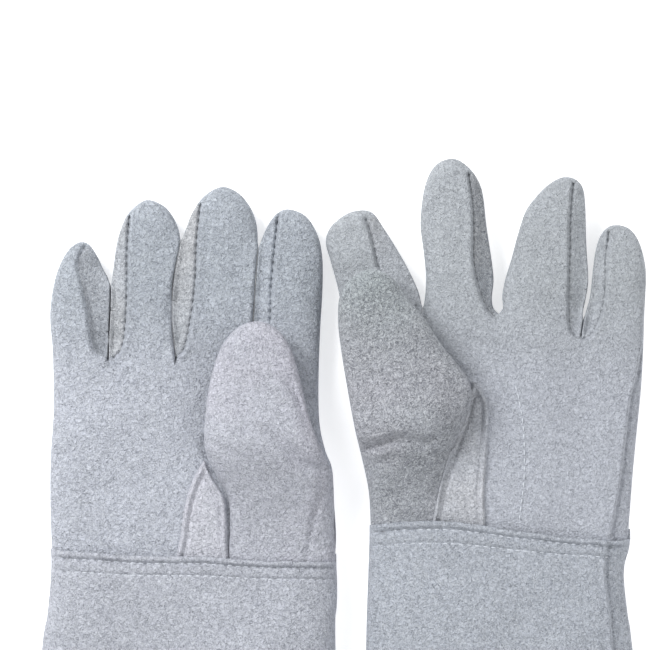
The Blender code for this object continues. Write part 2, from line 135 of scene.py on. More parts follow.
# In metres: where the fingers' shade begins and is full, and a height above everything.
FINGER_SHADE = (0.055, 0.125)
DROP_FROM = 0.2


def finger(name, strip_drop=1.9, strip_finish="strip", seam_depth=None, **lines):
    """A finger's measures. Unless told otherwise, its side strip is of the usual depth and shade."""
    extra = dict(strip_drop=strip_drop, strip_finish=strip_finish, seam_depth=seam_depth)
    return SimpleNamespace(name=name, **extra, **lines)


RIGHT_FINGERS = [
    finger(
        "little", root=(-59, 102.4), tip=(-59, 162.2), crease=27,
        edge=[
            (-74.8, 20), (-74.8, 49), (-73.2, 75), (-73.6, 104), (-75, 126), (-72, 145),
            (-66.5, 157.3), (-60.5, 162.6), (-55.4, 162.2), (-51.2, 157), (-47.3, 149), (-43.7, 141),
            (-43.5, 128), (-44.2, 112),
        ],
        seam=[
            (-57, 160.5), (-60, 152.5), (-58.5, 143), (-55.5, 130), (-53, 112), (-50.5, 105), (-44, 102),
        ],
        strip_side=1, strip_drop=3.2, strip_finish="dark_and_shaded_strip", seam_depth=1.8,
    ),
    finger(
        "ring", root=(-26, 102.7), tip=(-25, 184.6), crease=37,
        edge=[
            (-43.9, 112), (-43.2, 128), (-42.8, 140), (-41.9, 149), (-40.3, 161.5), (-37.6, 171),
            (-33.6, 178.6), (-25, 184.9), (-16.4, 182.3), (-11.8, 177.6), (-8.2, 170.5), (-7, 163),
            (-9, 152), (-10.9, 140), (-11.1, 120),
        ],
        seam=[(-33.5, 176), (-34.5, 158), (-34.5, 140), (-35.2, 122), (-37.2, 108), (-41.5, 102.5)],
        strip_side=-1,
    ),
    finger(
        "middle", root=(11, 106.4), tip=(15.1, 191.4), crease=38,
        edge=[
            (-10.8, 120), (-10.6, 139), (-8.6, 152), (-6.3, 163), (-3.6, 171), (-0.6, 178.6), (5.5, 187),
            (14.6, 191.8), (23, 188.8), (29, 182), (32.6, 173.4), (33.5, 163), (32.8, 150),
            (31.6, 132), (31, 118),
        ],
        seam=[(3.5, 182), (1.7, 163), (1, 143), (-1.5, 122), (-5, 107), (-9, 103.5)],
        strip_side=-1,
    ),
    finger(
        "index", root=(48, 110), tip=(49.6, 179.9), crease=31,
        edge=[
            (31.3, 118), (31.9, 132), (33.1, 150), (34.6, 161), (38.2, 170.5), (43.2, 177.6),
            (49.4, 180.1), (58.4, 176.6), (64.6, 167), (67.2, 155), (67.3, 138), (66, 115), (65.2, 88),
            (65.8, 68), (68.8, 54), (72.4, 44), (73.4, 26), (74.4, 8),
        ],
        seam=[(44.2, 177), (42, 156), (40.5, 137), (40, 121), (37.5, 112), (33, 109)],
        strip_side=-1, strip_finish="palm",
    ),
]

RIGHT_GLOVE = dict(
    name="right",
    seam_left=-73.8,
    seam_depth=3.1,
    patch_on_thumb=False,
    thumb_side=1,
    seed=3,
    fingers=RIGHT_FINGERS,
    crotches=[(-44.3, 101.5), (-9.2, 103.2), (31.2, 108)],
    thumb_hinge=((6.5, 54), (68.5, 51)),
    thumb_edge=[
        (18.6, 0), (19.2, 14), (18.2, 30), (12.2, 41.5), (6.9, 54), (6.6, 70), (9.5, 91), (14.9, 107.6),
        (23, 117.9), (33.8, 121.6), (43, 118.2), (49.7, 110), (54.8, 95.7), (58.8, 78), (63.6, 63),
        (68.8, 51), (72.6, 40), (73.4, 24), (74, 0),
    ],
    patch=[
        (5.6, 49.5), (0, 39.6), (-4, 27.5), (-6.4, 12), (-7.2, -6), (16.6, -6), (17.8, 8), (17.6, 22),
        (16.4, 30.5), (11, 39), (6.6, 48.5),
    ],
    creases=[
        ([(45, 97), (49.5, 90), (54.5, 81), (59, 71.5), (62, 62)], 3.2, 1.4, "thumb"),
        ([(33, 70), (40, 64), (48, 57.5), (57, 48.5), (66, 45), (84, 46)], 4.2, 3.3, "thumb"),
        ([(67, 52), (65.5, 28.5), (62, 18), (57, -20)], 2, 1.1, "thumb"),
        ([(-2, 64), (10, 60), (19, 54.5), (35, 50)], 1, 3.4, "thumb"),
        ([(-66, 84), (-52, 76), (-38, 78)], 0.5, 4.5, "hand"),
        ([(-30, 92), (-20, 80), (-6, 74)], 0.5, 4, "hand"),
        ([(-60, 42), (-44, 34), (-26, 37)], 0.5, 4.5, "hand"),
    ],
    side_seam=None,
    palm_stitches=None,
    cuff_edge=[(-75, 3), (-52, 1.5), (-29, 0), (6, -0.5), (32, -2.5), (75, -3.5)],
    cuff_left=[
        (-75.2, 4), (-74.4, -4), (-74.8, -16), (-76.6, -34), (-78.8, -46), (-84.5, -100), (-92, -164),
    ],
    cuff_right=[(74.6, 4), (74.6, -4), (75, -16), (74.8, -26), (74, -40), (75.6, -100), (80, -164)],
    cuff_seam=None,
)

LEFT_FINGERS = [
    finger(
        "index", root=(-59, 116), tip=(-74, 165.9), crease=24,
        edge=[
            (-65.6, 8), (-66.4, 20), (-70, 38), (-74.8, 60), (-77.5, 85), (-79.5, 108), (-82.5, 125),
            (-86.2, 139), (-89, 149.5), (-87.2, 156.6), (-82.6, 161.6), (-76.8, 165.2), (-70.4, 166.6),
            (-64.2, 165), (-58.6, 157), (-53.2, 148.5), (-46, 136), (-40.6, 124),
        ],
        seam=[(-68, 161.5), (-66, 156), (-63.5, 145.5), (-60.5, 135), (-50.5, 121), (-42, 116.5)],
        strip_side=1,
    ),
    finger(
        "middle", root=(-17.6, 113.9), tip=(-21.8, 193.4), crease=36,
        edge=[
            (-36.9, 124), (-36.8, 134), (-38, 146), (-39.5, 158), (-38.9, 169), (-37.2, 179),
            (-34, 187), (-29.6, 191.6), (-22.6, 193.6), (-16.2, 190.6), (-10.4, 184), (-7, 175),
            (-5, 158), (-2.4, 141), (-1.3, 130), (-2.2, 121), (-1.4, 115.4),
        ],
        seam=[
            (-14.5, 185), (-12.7, 171.5), (-12, 158.5), (-12, 140.5), (-9.6, 127.5), (-5.4, 116),
            (-0.6, 110.4),
        ],
        strip_side=1, strip_finish="shaded_strip",
    ),
    finger(
        "ring", root=(22.5, 105.8), tip=(36.9, 183.6), crease=36,
        edge=[
            (3.6, 115.6), (3.2, 122), (4.9, 131), (7.8, 140.5), (11.4, 154), (15.2, 165.5), (20.4, 173),
            (27.4, 180), (35, 183.9), (41.4, 182.8), (45.4, 178), (46.6, 168), (47.1, 150), (48, 131),
            (46.8, 121), (45.2, 113.5), (44.2, 105),
        ],
        seam=[(40.2, 180.5), (38.5, 165.5), (38, 139.5), (37.5, 115), (38.6, 104), (42.5, 100)],
        strip_side=1, strip_finish="palm",
    ),
    finger(
        "little", root=(59.6, 99.6), tip=(64.5, 158.6), crease=27,
        edge=[
            (44.7, 105), (46.6, 113.2), (48.8, 121), (50, 131), (51.8, 144.5), (54.4, 153),
            (58.6, 157.8), (64, 158.8), (69.8, 156.8), (74.2, 151), (77.2, 141.5), (78.3, 131),
            (77.4, 112), (76.8, 92), (75.6, 72), (73.4, 50), (71.5, 30), (69.8, 8),
        ],
        seam=[(58.8, 155), (57, 140.5), (56.5, 125), (54.5, 113.5), (49.8, 102.5), (44.5, 99.2)],
        strip_side=-1, strip_finish="palm",
    ),
]

LEFT_GLOVE = dict(
    name="left",
    seam_left=-65,
    seam_depth=2.4,
    patch_on_thumb=True,
    thumb_side=-1,
    seed=11,
    fingers=LEFT_FINGERS,
    crotches=[(-38.4, 114), (1.2, 112.6), (43.8, 100.5)],
    thumb_hinge=((-73.2, 46), (-9.5, 63)),
    thumb_edge=[
        (-65.4, 0), (-66.6, 20), (-70.4, 38), (-73.8, 52), (-77.2, 70), (-81, 93), (-82.7, 109),
        (-81.6, 122), (-75.6, 131), (-65.8, 135.4), (-55.9, 131.8), (-46, 120), (-37.4, 109), (-29.6, 97),
        (-20.8, 86), (-15.2, 77.5), (-13.8, 69), (-16.4, 59), (-21.8, 45), (-27.2, 28), (-31, 10),
        (-32, 0),
    ],
    patch=[
        (-12.6, 77.5), (-15.4, 70), (-18.2, 59), (-23.4, 45), (-28.6, 28), (-32.4, 10), (-33.4, -6),
        (-8.2, -6), (-6.4, 20), (-5, 39), (-4, 57), (-4.6, 66), (-7.2, 72.5), (-10.2, 76.4),
    ],
    creases=[
        ([(-92, 41), (-73, 42), (-61, 45), (-53, 48), (-44, 47), (-36, 46), (-22, 52)], 4.2, 2.4, "thumb"),
        ([(-82, 34), (-70, 34), (-61, 35.5), (-48, 40)], 1.5, 2.4, "thumb"),
        ([(-64, 22), (-52, 20), (-42, 24)], 0.6, 3.6, "thumb"),
        ([(-25.5, 92.5), (-20, 84), (-10, 79), (0, 80)], 1.6, 2.8, "hand"),
        ([(-24, 104), (-12, 97), (4, 96)], 1.2, 3.2, "hand"),
        ([(46, 84), (56, 78), (68, 80)], 0.5, 4, "hand"),
        ([(30, 40), (44, 36), (60, 40)], 0.4, 5, "hand"),
    ],
    side_seam=[(78, 122), (76.8, 100), (73, 79), (70, 67.5), (67.5, 46), (64, 20), (60, -2.5)],
    palm_stitches=[(9.5, 75.5), (12, 65), (14, 48.5), (14, 26), (12.5, 13), (11.5, 4)],
    cuff_edge=[(-68, 2), (-49.5, 4.5), (-29.5, 5), (-9, 3), (9.5, 0), (28.5, -2.5), (60, -5.5), (70, -5)],
    cuff_left=[(-66.2, 6), (-66.2, -6), (-66.8, -24), (-67.6, -47), (-69.5, -110), (-74, -164)],
    cuff_right=[(70.4, 4), (69.4, -6), (67, -16), (66.9, -27), (69, -46), (71, -60), (82, -164)],
    cuff_seam=[(60, 2), (57.4, -10), (56.4, -23), (59, -45), (60, -63), (63, -100), (70, -164)],
)


# ---- lines and outlines in the plane

def smooth_curve(points, step):
    """A Catmull-Rom curve through the points, read about every `step` millimetres."""
    p = np.array(points, float)
    p = np.vstack([2 * p[0] - p[1], p, 2 * p[-1] - p[-2]])
    fine = []
    for a, b, c, d in zip(p, p[1:], p[2:], p[3:]):
        t = np.linspace(0, 1, 16, endpoint=False)[:, None]
        cubic = (3 * b - a - 3 * c + d) * t**3
        fine.append(0.5 * (2 * b + (c - a) * t + (2 * a - 5 * b + 4 * c - d) * t**2 + cubic))
    return resampled(np.vstack([*fine, p[-2]]), step)


def arc_lengths(line):
    return np.concatenate([[0], np.cumsum(np.linalg.norm(np.diff(line, axis=0), axis=1))])


def resampled(line, step):
    """The same line with evenly spaced points."""
    along = arc_lengths(line)
    at = np.linspace(0, along[-1], max(2, round(along[-1] / step) + 1))
    return np.stack([np.interp(at, along, line[:, k]) for k in range(line.shape[1])], axis=1)


def batches(points):
    """Slices that take the points a manageable number at a time."""
    return [slice(i, i + BATCH) for i in range(0, len(points), BATCH)]


def nearest_on(points, line):
    """Each point's distance to a line, and how far along the line its nearest place is."""
    a, d = line[:-1], np.diff(line, axis=0)
    square, along = (d**2).sum(1), arc_lengths(line)
    distance, position = np.empty(len(points)), np.empty(len(points))
    for part in batches(points):
        x, y = points[part, 0, None] - a[:, 0], points[part, 1, None] - a[:, 1]
        t = np.clip((x * d[:, 0] + y * d[:, 1]) / square, 0, 1)
        away = (x - t * d[:, 0]) ** 2 + (y - t * d[:, 1]) ** 2
        best = away.argmin(1)
        rows = np.arange(len(best))
        distance[part] = np.sqrt(away[rows, best])
        position[part] = along[best] + t[rows, best] * np.sqrt(square[best])
    return distance, position


def inside(points, polygon):
    """Which points lie inside a polygon, by counting the edges to their right."""
    found = np.zeros(len(points), bool)
    near = close_to(points, polygon, 0.1)
    x, y = points[near].T
    hit = np.zeros(len(x), bool)
    for (x0, y0), (x1, y1) in zip(polygon, np.roll(polygon, -1, axis=0)):
        if y0 != y1:
            crosses = (y0 > y) != (y1 > y)
            hit ^= crosses & (x < x0 + (y - y0) * (x1 - x0) / (y1 - y0))
    found[near] = hit
    return found


def closed(outline):
    """The outline with its first point again at its end."""
    return np.vstack([outline, outline[:1]])


def smoothstep(t):
    t = np.clip(t, 0, 1)
    return t * t * (3 - 2 * t)


def rising(value, low, high):
    """0 below the low value and 1 above the high one, with a smooth rise between."""
    return smoothstep((value - low) / (high - low))


def unit(v):
    v = np.array(v, float)
    return v / np.linalg.norm(v)


def right_normals(line):
    """Unit vectors to the right of the line's direction, which is into an outline that runs clockwise."""
    d = np.gradient(line, axis=0)
    d /= np.linalg.norm(d, axis=1)[:, None]
    return np.stack([d[:, 1], -d[:, 0]], axis=1)


# ---- flat triangulated panels

class Panel:
    """A flat outline filled with triangles. Its first `rim` points are the outline's own, in order."""

    def __init__(self, outline, spacing, cuts=(), seams=(), rings=EDGE_RINGS):
        self.outline = outline
        points, edges = list(outline), []
        for first, last in cuts:
            inner = resampled(np.array([outline[first], outline[last]]), spacing)[1:-1]
            chain = [first, *range(len(points), len(points) + len(inner)), last]
            points += list(inner)
            edges += list(zip(chain, chain[1:]))
        for seam in seams:
            chain = list(range(len(points), len(points) + len(seam)))
            points += list(seam)
            edges += list(zip(chain, chain[1:]))
        points += list(self.filling(spacing, points[len(outline) :], seams, rings))
        loop = list(range(len(outline)))
        verts, _, faces, origins, _, _ = delaunay_2d_cdt(
            [Vector(p) for p in points], edges, [loop], 1, 1e-4
        )
        verts = np.array([tuple(v) for v in verts])
        place = {source: k for k, sources in enumerate(origins) for source in sources}
        order = [place[i] for i in loop]
        taken = set(order)
        order += [k for k in range(len(verts)) if k not in taken]
        rank = np.empty(len(verts), int)
        rank[order] = np.arange(len(verts))
        self.points = verts[order]
        self.faces = upward(self.points, rank[np.array(faces)])
        self.rim = len(outline)

    def filling(self, spacing, kept, seams, rings):
        """Rows along the edge and beside the seams, and an even triangular grid between them."""
        edge, into = closed(self.outline), right_normals(self.outline)
        found, extra = [], []
        for seam in seams:
            row = rows_beside(seam)
            row = row[inside(row, self.outline)]
            row = row[nearest_on(row, edge)[0] > EDGE_CLEAR]
            if len(row):
                row = row[spaced_from(row, np.array(kept), ROW_CLEAR)]
                kept = [*kept, *row]
                extra.append(row)
        for depth in rings:
            row = self.outline + depth * into
            row = row[inside(row, self.outline)]
            found.append(row[nearest_on(row, edge)[0] > SQUARE * depth])
        low, high = self.outline.min(0), self.outline.max(0)
        rows = np.arange(low[1], high[1], spacing * math.sqrt(3) / 2)
        columns = np.arange(low[0], high[0], spacing)
        grid = np.array([(x + (k % 2) * spacing / 2, y) for k, y in enumerate(rows) for x in columns])
        grid = grid[inside(grid, self.outline)]
        room = GRID_CLEAR * spacing
        grid = grid[nearest_on(grid, edge)[0] > rings[-1] + room]
        if len(kept):
            grid = grid[spaced_from(grid, np.array(kept), room)]
            found = [row[spaced_from(row, np.array(kept), RING_CLEAR)] for row in found]
        return np.vstack([*extra, *found, grid])

    def centres(self):
        return self.points[self.faces].mean(1)


def rows_beside(seam):
    """Points in rows on both sides of a seam, close to it."""
    aside = right_normals(seam)
    rows = []
    for offset in SEAM_ROWS:
        row = seam + offset * aside
        rows.append(row[nearest_on(row, seam)[0] > SQUARE * abs(offset)])
    return np.vstack(rows)


def spaced_from(points, others, least):
    """Which points keep at least that distance from the other points."""
    keep = np.ones(len(points), bool)
    for part in batches(points):
        x, y = points[part, 0, None] - others[:, 0], points[part, 1, None] - others[:, 1]
        keep[part] = (x**2 + y**2).min(1) > least**2
    return keep


def upward(points, faces):
    """The faces, turned to run anticlockwise."""
    a, b, c = (points[faces[:, k]] for k in range(3))
    area = (b - a)[:, 0] * (c - a)[:, 1] - (b - a)[:, 1] * (c - a)[:, 0]
    faces = faces.copy()
    faces[area < 0] = faces[area < 0][:, ::-1]
    return faces[np.abs(area) > 1e-7]


class Membrane:
    """How far a sewn outline swells, from 0 at its edge to 1 far inside, like a stretched skin."""

    def __init__(self, outline):
        self.low = outline.min(0) - 3 * GRID_STEP
        size = np.ceil((outline.max(0) + 3 * GRID_STEP - self.low) / GRID_STEP).astype(int) + 1
        x = self.low[0] + GRID_STEP * np.arange(size[0])
        y = self.low[1] + GRID_STEP * np.arange(size[1])
        cells = np.stack(np.meshgrid(x, y, indexing="ij"), axis=-1).reshape(-1, 2)
        within = inside(cells, outline).reshape(size)
        pull = (REACH / GRID_STEP) ** 2
        height = np.zeros(size)
        for _ in range(SETTLING_STEPS):
            around = height[:-2, 1:-1] + height[2:, 1:-1] + height[1:-1, :-2] + height[1:-1, 2:]
            height[1:-1, 1:-1] = np.where(within[1:-1, 1:-1], (1 + pull * around) / (1 + 4 * pull), 0)
        self.edge = closed(outline)
        depth = nearest_on(cells, self.edge)[0].reshape(size)
        self.slope = spread(np.where(within, height / np.maximum(depth, 0.8 * GRID_STEP), 0), within)
        self.height = height

    def read(self, values, points):
        """The grid's values at the points, in proportion between its corners."""
        at = (points - self.low) / GRID_STEP
        corner = np.clip(np.floor(at).astype(int), 0, np.array(values.shape) - 2)
        (i, j), (s, t) = corner.T, (at - corner).T
        low = values[i, j] * (1 - s) + values[i + 1, j] * s
        high = values[i, j + 1] * (1 - s) + values[i + 1, j + 1] * s
        return low * (1 - t) + high * t

    def at(self, points):
        """(swelling, distance from the edge) at each point."""
        depth = nearest_on(points, self.edge)[0]
        near = self.read(self.slope, points) * depth
        far = self.read(self.height, points)
        share = rising(depth, *NEAR_EDGE)
        return np.clip(near * (1 - share) + far * share, 0, 1), depth


def spread(values, known):
    """Fills the cells beside the known ones with their neighbours' mean, three cells out."""
    for _ in range(3):
        total, count = np.zeros(values.shape), np.zeros(values.shape)
        for shift, axis in ((1, 0), (-1, 0), (1, 1), (-1, 1)):
            total += np.roll(values * known, shift, axis)
            count += np.roll(known, shift, axis)
        values = np.where(known, values, total / np.maximum(count, 1))
        known = known | (count > 0)
    return values


# ---- relief of the leather

def unevenness(points, seed, octaves=((34, 0.75), (13, 0.32), (5.5, 0.14), (2.9, 0.12))):
    """The slow waves and small lumps of soft split leather, in millimetres."""
    heights = [
        sum(size * noise.noise(Vector((x / wave, y / wave, seed + wave))) for wave, size in octaves)
        for x, y in points
    ]
    return np.array(heights)


def ridge(distance, at, width):
    """A rounded ridge of height 1, whose crest is where the distance is `at`."""
    return np.exp(-(((distance - at) / width) ** 2))


def groove(points, line, depth, width, pucker=0.0, lip=0.12):
    """A pressed-in line, deeper where each stitch pulls, with slightly raised lips."""
    relief, near = np.zeros(len(points)), close_to(points, line, 6 * width)
    distance, position = nearest_on(points[near], line)
    pull = 1 + pucker * np.cos(2 * math.pi * position / STITCH_PITCH)
    dent = depth * ridge(distance, 0, width) * pull
    relief[near] = lip * depth * ridge(distance, 2.6 * width, 1.3 * width) - dent
    return relief


def crease(points, line, depth, width):
    """A soft fold, deepest half way along its line."""
    relief, near = np.zeros(len(points)), close_to(points, line, 3 * width)
    distance, position = nearest_on(points[near], line)
    share = position / arc_lengths(line)[-1]
    relief[near] = -depth * np.sin(math.pi * share) * ridge(distance, 0, width)
    return relief


def folds_on(part, glove, points):
    """The relief of each of the glove's creases that is on this part of it."""
    return [
        crease(points, smooth_curve(line, 2), depth, width)
        for line, depth, width, where in glove.creases if where == part
    ]


def close_to(points, line, margin):
    """Which points lie within the margin of a line's bounding box."""
    return ((points > line.min(0) - margin) & (points < line.max(0) + margin)).all(1)


def with_side_seam(points, z, seam):
    """The heights with the palm panel's edge standing over the back panel, a low ledge to its right."""
    distance, _ = nearest_on(points, seam)
    upwards = np.argsort(seam[:, 1])
    x = np.interp(points[:, 1], seam[upwards, 1], seam[upwards, 0])
    ledge = np.where(points[:, 0] > x, smoothstep(distance / 0.9), 0)
    roll = 0.8 * ridge(distance, 1.3, 1.0) * (points[:, 0] < x)
    slit = 2.4 * ridge(distance, 0, 0.6)
    step = 0.9 + 0.12 * (z - SEAM_HEIGHT)
    return z + roll - slit - ledge * step


# ---- making objects

def new_object(name, data):
    """A new object of this mesh, lamp or camera, in the scene."""
    made = bpy.data.objects.new(name, data)
    bpy.context.scene.collection.objects.link(made)
    return made


class Glove(SimpleNamespace):
    """One glove's measures, with its finishes, its place in the frame and its way of adding pieces."""

    def __init__(self, finishes, **measures):
        super().__init__(finishes=finishes, **measures)
        low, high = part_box(f"{self.name}_collar_front")
        self.origin = np.array([low.x - self.seam_left * MM, high.y + COLLAR_MARGIN * MM, 0])
        self.wrist_bend = self.bend("cuff", "hand", *((0, y) for y in WRIST_BLEND))

    def named(self, *parts):
        """The full names of this glove's own parts, such as left_cuff_front."""
        return [f"{self.name}_{part}" for part in parts]

    def metres(self, points):
        """The glove's own millimetres, as metres in the frame."""
        return np.array(points, float) * MM + self.origin

    def point(self, xy):
        return tuple(self.metres([(*xy, 0)])[0])

    def bend(self, first, second, start, end):
        """Two of the glove's bodies, and the points between which a piece passes from one to the other."""
        return (*self.named(first, second), self.point(start), self.point(end))

    def covered(self, mesh, finish):
        """A smooth-shaded object of this mesh, in the glove's own finish where it has one."""
        own = f"{self.name}_{finish}"
        mesh.materials.append(self.finishes[own if own in self.finishes else finish])
        mesh.shade_smooth()
        return new_object(mesh.name, mesh)

    def piece(self, part, verts, faces, finish, normals=None):
        """An object of these faces, in metres, with the given normals at its points."""
        used, flat = np.unique(faces, return_inverse=True)
        mesh = bpy.data.meshes.new(f"{self.name}_{part}")
        mesh.from_pydata(verts[used].tolist(), [], flat.reshape(faces.shape).tolist())
        made = self.covered(mesh, finish)
        if normals is not None:
            mesh.normals_split_custom_set_from_vertices(normals[used].tolist())
        return made

    def dress(self, made, slot, nodes=(), bend=None, body="hand"):
        """Hides the frame's parts that a piece stands for and fixes it to the body it moves with; a piece
        that bends only has its place baked in. `slot` is not used.
        """
        if bend:
            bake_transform(made)
        else:
            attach(made, f"{self.name}_{body}")
        if nodes:
            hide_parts(*nodes)
        return made


def vertex_normals(verts, faces):
    a, b, c = (verts[faces[:, k]] for k in range(3))
    face_normals = np.cross(b - a, c - a)
    total = np.zeros_like(verts)
    for k in range(3):
        np.add.at(total, faces[:, k], face_normals)
    return total / np.maximum(np.linalg.norm(total, axis=1), 1e-12)[:, None]


def sewn_shell(glove, form):
    """The points, back faces and normals of a form's front and back panels, joined at their outline."""
    front, back = form.front, form.back
    rim = front.rim
    top = np.column_stack([front.points, form.front_height(front.points)])
    low = np.column_stack([back.points, form.back_height(back.points)])
    top[:rim, 2] = form.outline_height()
    verts = glove.metres(np.vstack([top, low[rim:]]))
    under = np.where(back.faces < rim, back.faces, back.faces + len(top) - rim)[:, ::-1]
    return verts, under, vertex_normals(verts, np.vstack([front.faces, under]))


def tube(rings):
    """The points and four-sided faces of a tube through rings of equally many points."""
    rows, count = rings.shape[:2]
    start = np.arange(rows - 1)[:, None] * count
    a, b = start + np.arange(count), start + (np.arange(count) + 1) % count
    return rings.reshape(-1, 3), np.stack([a, a + count, b + count, b], axis=-1).reshape(-1, 4)


def thicken(made, thickness):
    """Gives a sheet its thickness, inwards, as part of its mesh."""
    solid = made.modifiers.new("thickness", "SOLIDIFY")
    solid.thickness = thickness * MM
    solid.offset = -1.0
    graph = bpy.context.evaluated_depsgraph_get()
    mesh = bpy.data.meshes.new_from_object(made.evaluated_get(graph))
    made.modifiers.clear()
    made.data = mesh


# ---- suede, cotton and thread

def settings(node, values):
    """Sets constants on a node's own sockets."""
    for socket, value in values.items():
        node.inputs[socket].default_value = value


class Nodes:
    """A material in the making, with short ways to add shader nodes."""

    def __init__(self, name):
        self.material = bpy.data.materials.new(name)
        self.material.use_nodes = True
        self.tree = self.material.node_tree
        self.link = self.tree.links.new
        self.shader = self.tree.nodes["Principled BSDF"]
        self.where = self.add("TexCoord").outputs["Object"]

    def add(self, kind):
        return self.tree.nodes.new("ShaderNode" + kind)

    def noise(self, scale, detail=2.0, rough=0.5, distortion=0.0):
        made = self.add("TexNoise")
        settings(made, {"Scale": scale, "Detail": detail, "Roughness": rough, "Distortion": distortion})
        self.link(self.where, made.inputs["Vector"])
        return made.outputs["Fac"]

    def ramp(self, value, stops):
        made = self.add("ValToRGB")
        elements = made.color_ramp.elements
        while len(elements) < len(stops):
            elements.new(0.5)
        for element, (at, colour) in zip(elements, stops):
            element.position = at
            element.color = (*colour, 1)
        self.link(value, made.inputs["Fac"])
        return made.outputs["Color"]

    def mix(self, factor, first, second, kind="MIX"):
        made = self.add("Mix")
        made.data_type = "RGBA"
        made.blend_type = kind
        for socket, value in (("Factor", factor), ("A", first), ("B", second)):
            self.feed(made.inputs[socket], value)
        return next(o for o in made.outputs if o.type == "RGBA")

    def feed(self, socket, value):
        if isinstance(value, bpy.types.NodeSocket):
            self.link(value, socket)
        else:
            socket.default_value = (*value, 1) if isinstance(value, tuple) else value

    def towards_tips(self):
        """0 over the palm, rising to 1 at the fingers."""
        split = self.add("SeparateXYZ")
        self.link(self.where, split.inputs[0])
        made = self.add("MapRange")
        made.interpolation_type = "SMOOTHSTEP"
        settings(made, dict(zip(("From Min", "From Max"), FINGER_SHADE)))
        self.link(split.outputs["Y"], made.inputs["Value"])
        return made.outputs["Result"]

    def bump(self, height, strength, distance, normal=None):
        made = self.add("Bump")
        settings(made, {"Strength": strength, "Distance": distance})
        self.link(height, made.inputs["Height"])
        if normal:
            self.link(normal, made.inputs["Normal"])
        return made.outputs["Normal"]

    def finished(self, colour, normal, constants):
        self.link(colour, self.shader.inputs["Base Color"])
        self.link(normal, self.shader.inputs["Normal"])
        settings(self.shader, constants)
        return self.material


def grey_stops(colour, spread_by):
    """Three shades of a colour: darker, itself and lighter."""
    dark = tuple(c * (1 - spread_by) for c in colour)
    light = tuple(min(1.0, c * (1 + 0.8 * spread_by)) for c in colour)
    return [(0.28, dark), (0.5, colour), (0.74, light)]


def suede(name, colour, nap=1.0, mottle=0.10, relief=1.0, contrast=1.0, sheen=0.22, warm=None, far=None):
    """Split leather: a soft fibrous nap with cloudy shading. `nap` scales the size of its tufts.

    `warm` gives the strength and the tint of some warmer patches, and `far` the shade that the colour
    is multiplied by towards the fingertips.
    """
    made = Nodes("suede_" + name)
    body = made.ramp(made.noise(24, 3, 0.6), grey_stops(colour, mottle))
    tufts = made.noise(640 / nap, 2.5, 0.6, 1.1)
    curls = made.noise(430 / nap, 1.5, 0.5, 2.4)
    fibres = made.noise(1500 / nap, 2, 0.6)
    shade = made.ramp(tufts, [(0.30, (0.60, 0.61, 0.62)), (0.50, WHITE), (0.70, (1.34, 1.34, 1.33))])
    body = made.mix(min(1.0, contrast), body, shade, "MULTIPLY")
    strands = made.ramp(curls, [(0.42, BLACK), (0.5, (0.42 * contrast,) * 3), (0.58, BLACK)])
    body = made.mix(strands, body, (0.74, 0.77, 0.80))
    # Fine flecks on the same noise as the finest bump: partly the fibres' own colour, partly painted shade
    # of their relief.
    fibre_flecks_and_shade = made.ramp(fibres, [(0.34, (0.84, 0.84, 0.85)), (0.5, WHITE), (0.68, (1.14, 1.14, 1.14))])
    body = made.mix(0.8, body, fibre_flecks_and_shade, "MULTIPLY")
    if warm:
        amount, tint = warm
        patches = made.ramp(made.noise(17, 2, 0.5), [(0.42, BLACK), (0.66, (amount,) * 3)])
        body = made.mix(patches, body, tint, "MULTIPLY")
    if far:
        body = made.mix(made.towards_tips(), body, far, "MULTIPLY")
    normal = None
    for height, strength, distance in ((tufts, 1.0, 0.0013), (curls, 0.6, 0.0010), (fibres, 0.6, 0.0005)):
        normal = made.bump(height, strength * relief, distance, normal)
    return made.finished(body, normal, {
        "Roughness": 0.96, "Specular IOR Level": 0.10, "Sheen Weight": sheen,
        "Sheen Roughness": 0.45, "Sheen Tint": (0.9, 0.93, 1.0, 1),
    })


def fine_threads(name, colour, grain, mottle, relief, roughness):
    """Cotton or twisted sewing thread. `grain` is its noise, and `relief` its bump's two measures."""
    made = Nodes(name)
    threads = made.noise(*grain)
    body = made.ramp(threads, grey_stops(colour, mottle))
    return made.finished(body, made.bump(threads, *relief), {"Roughness": roughness})


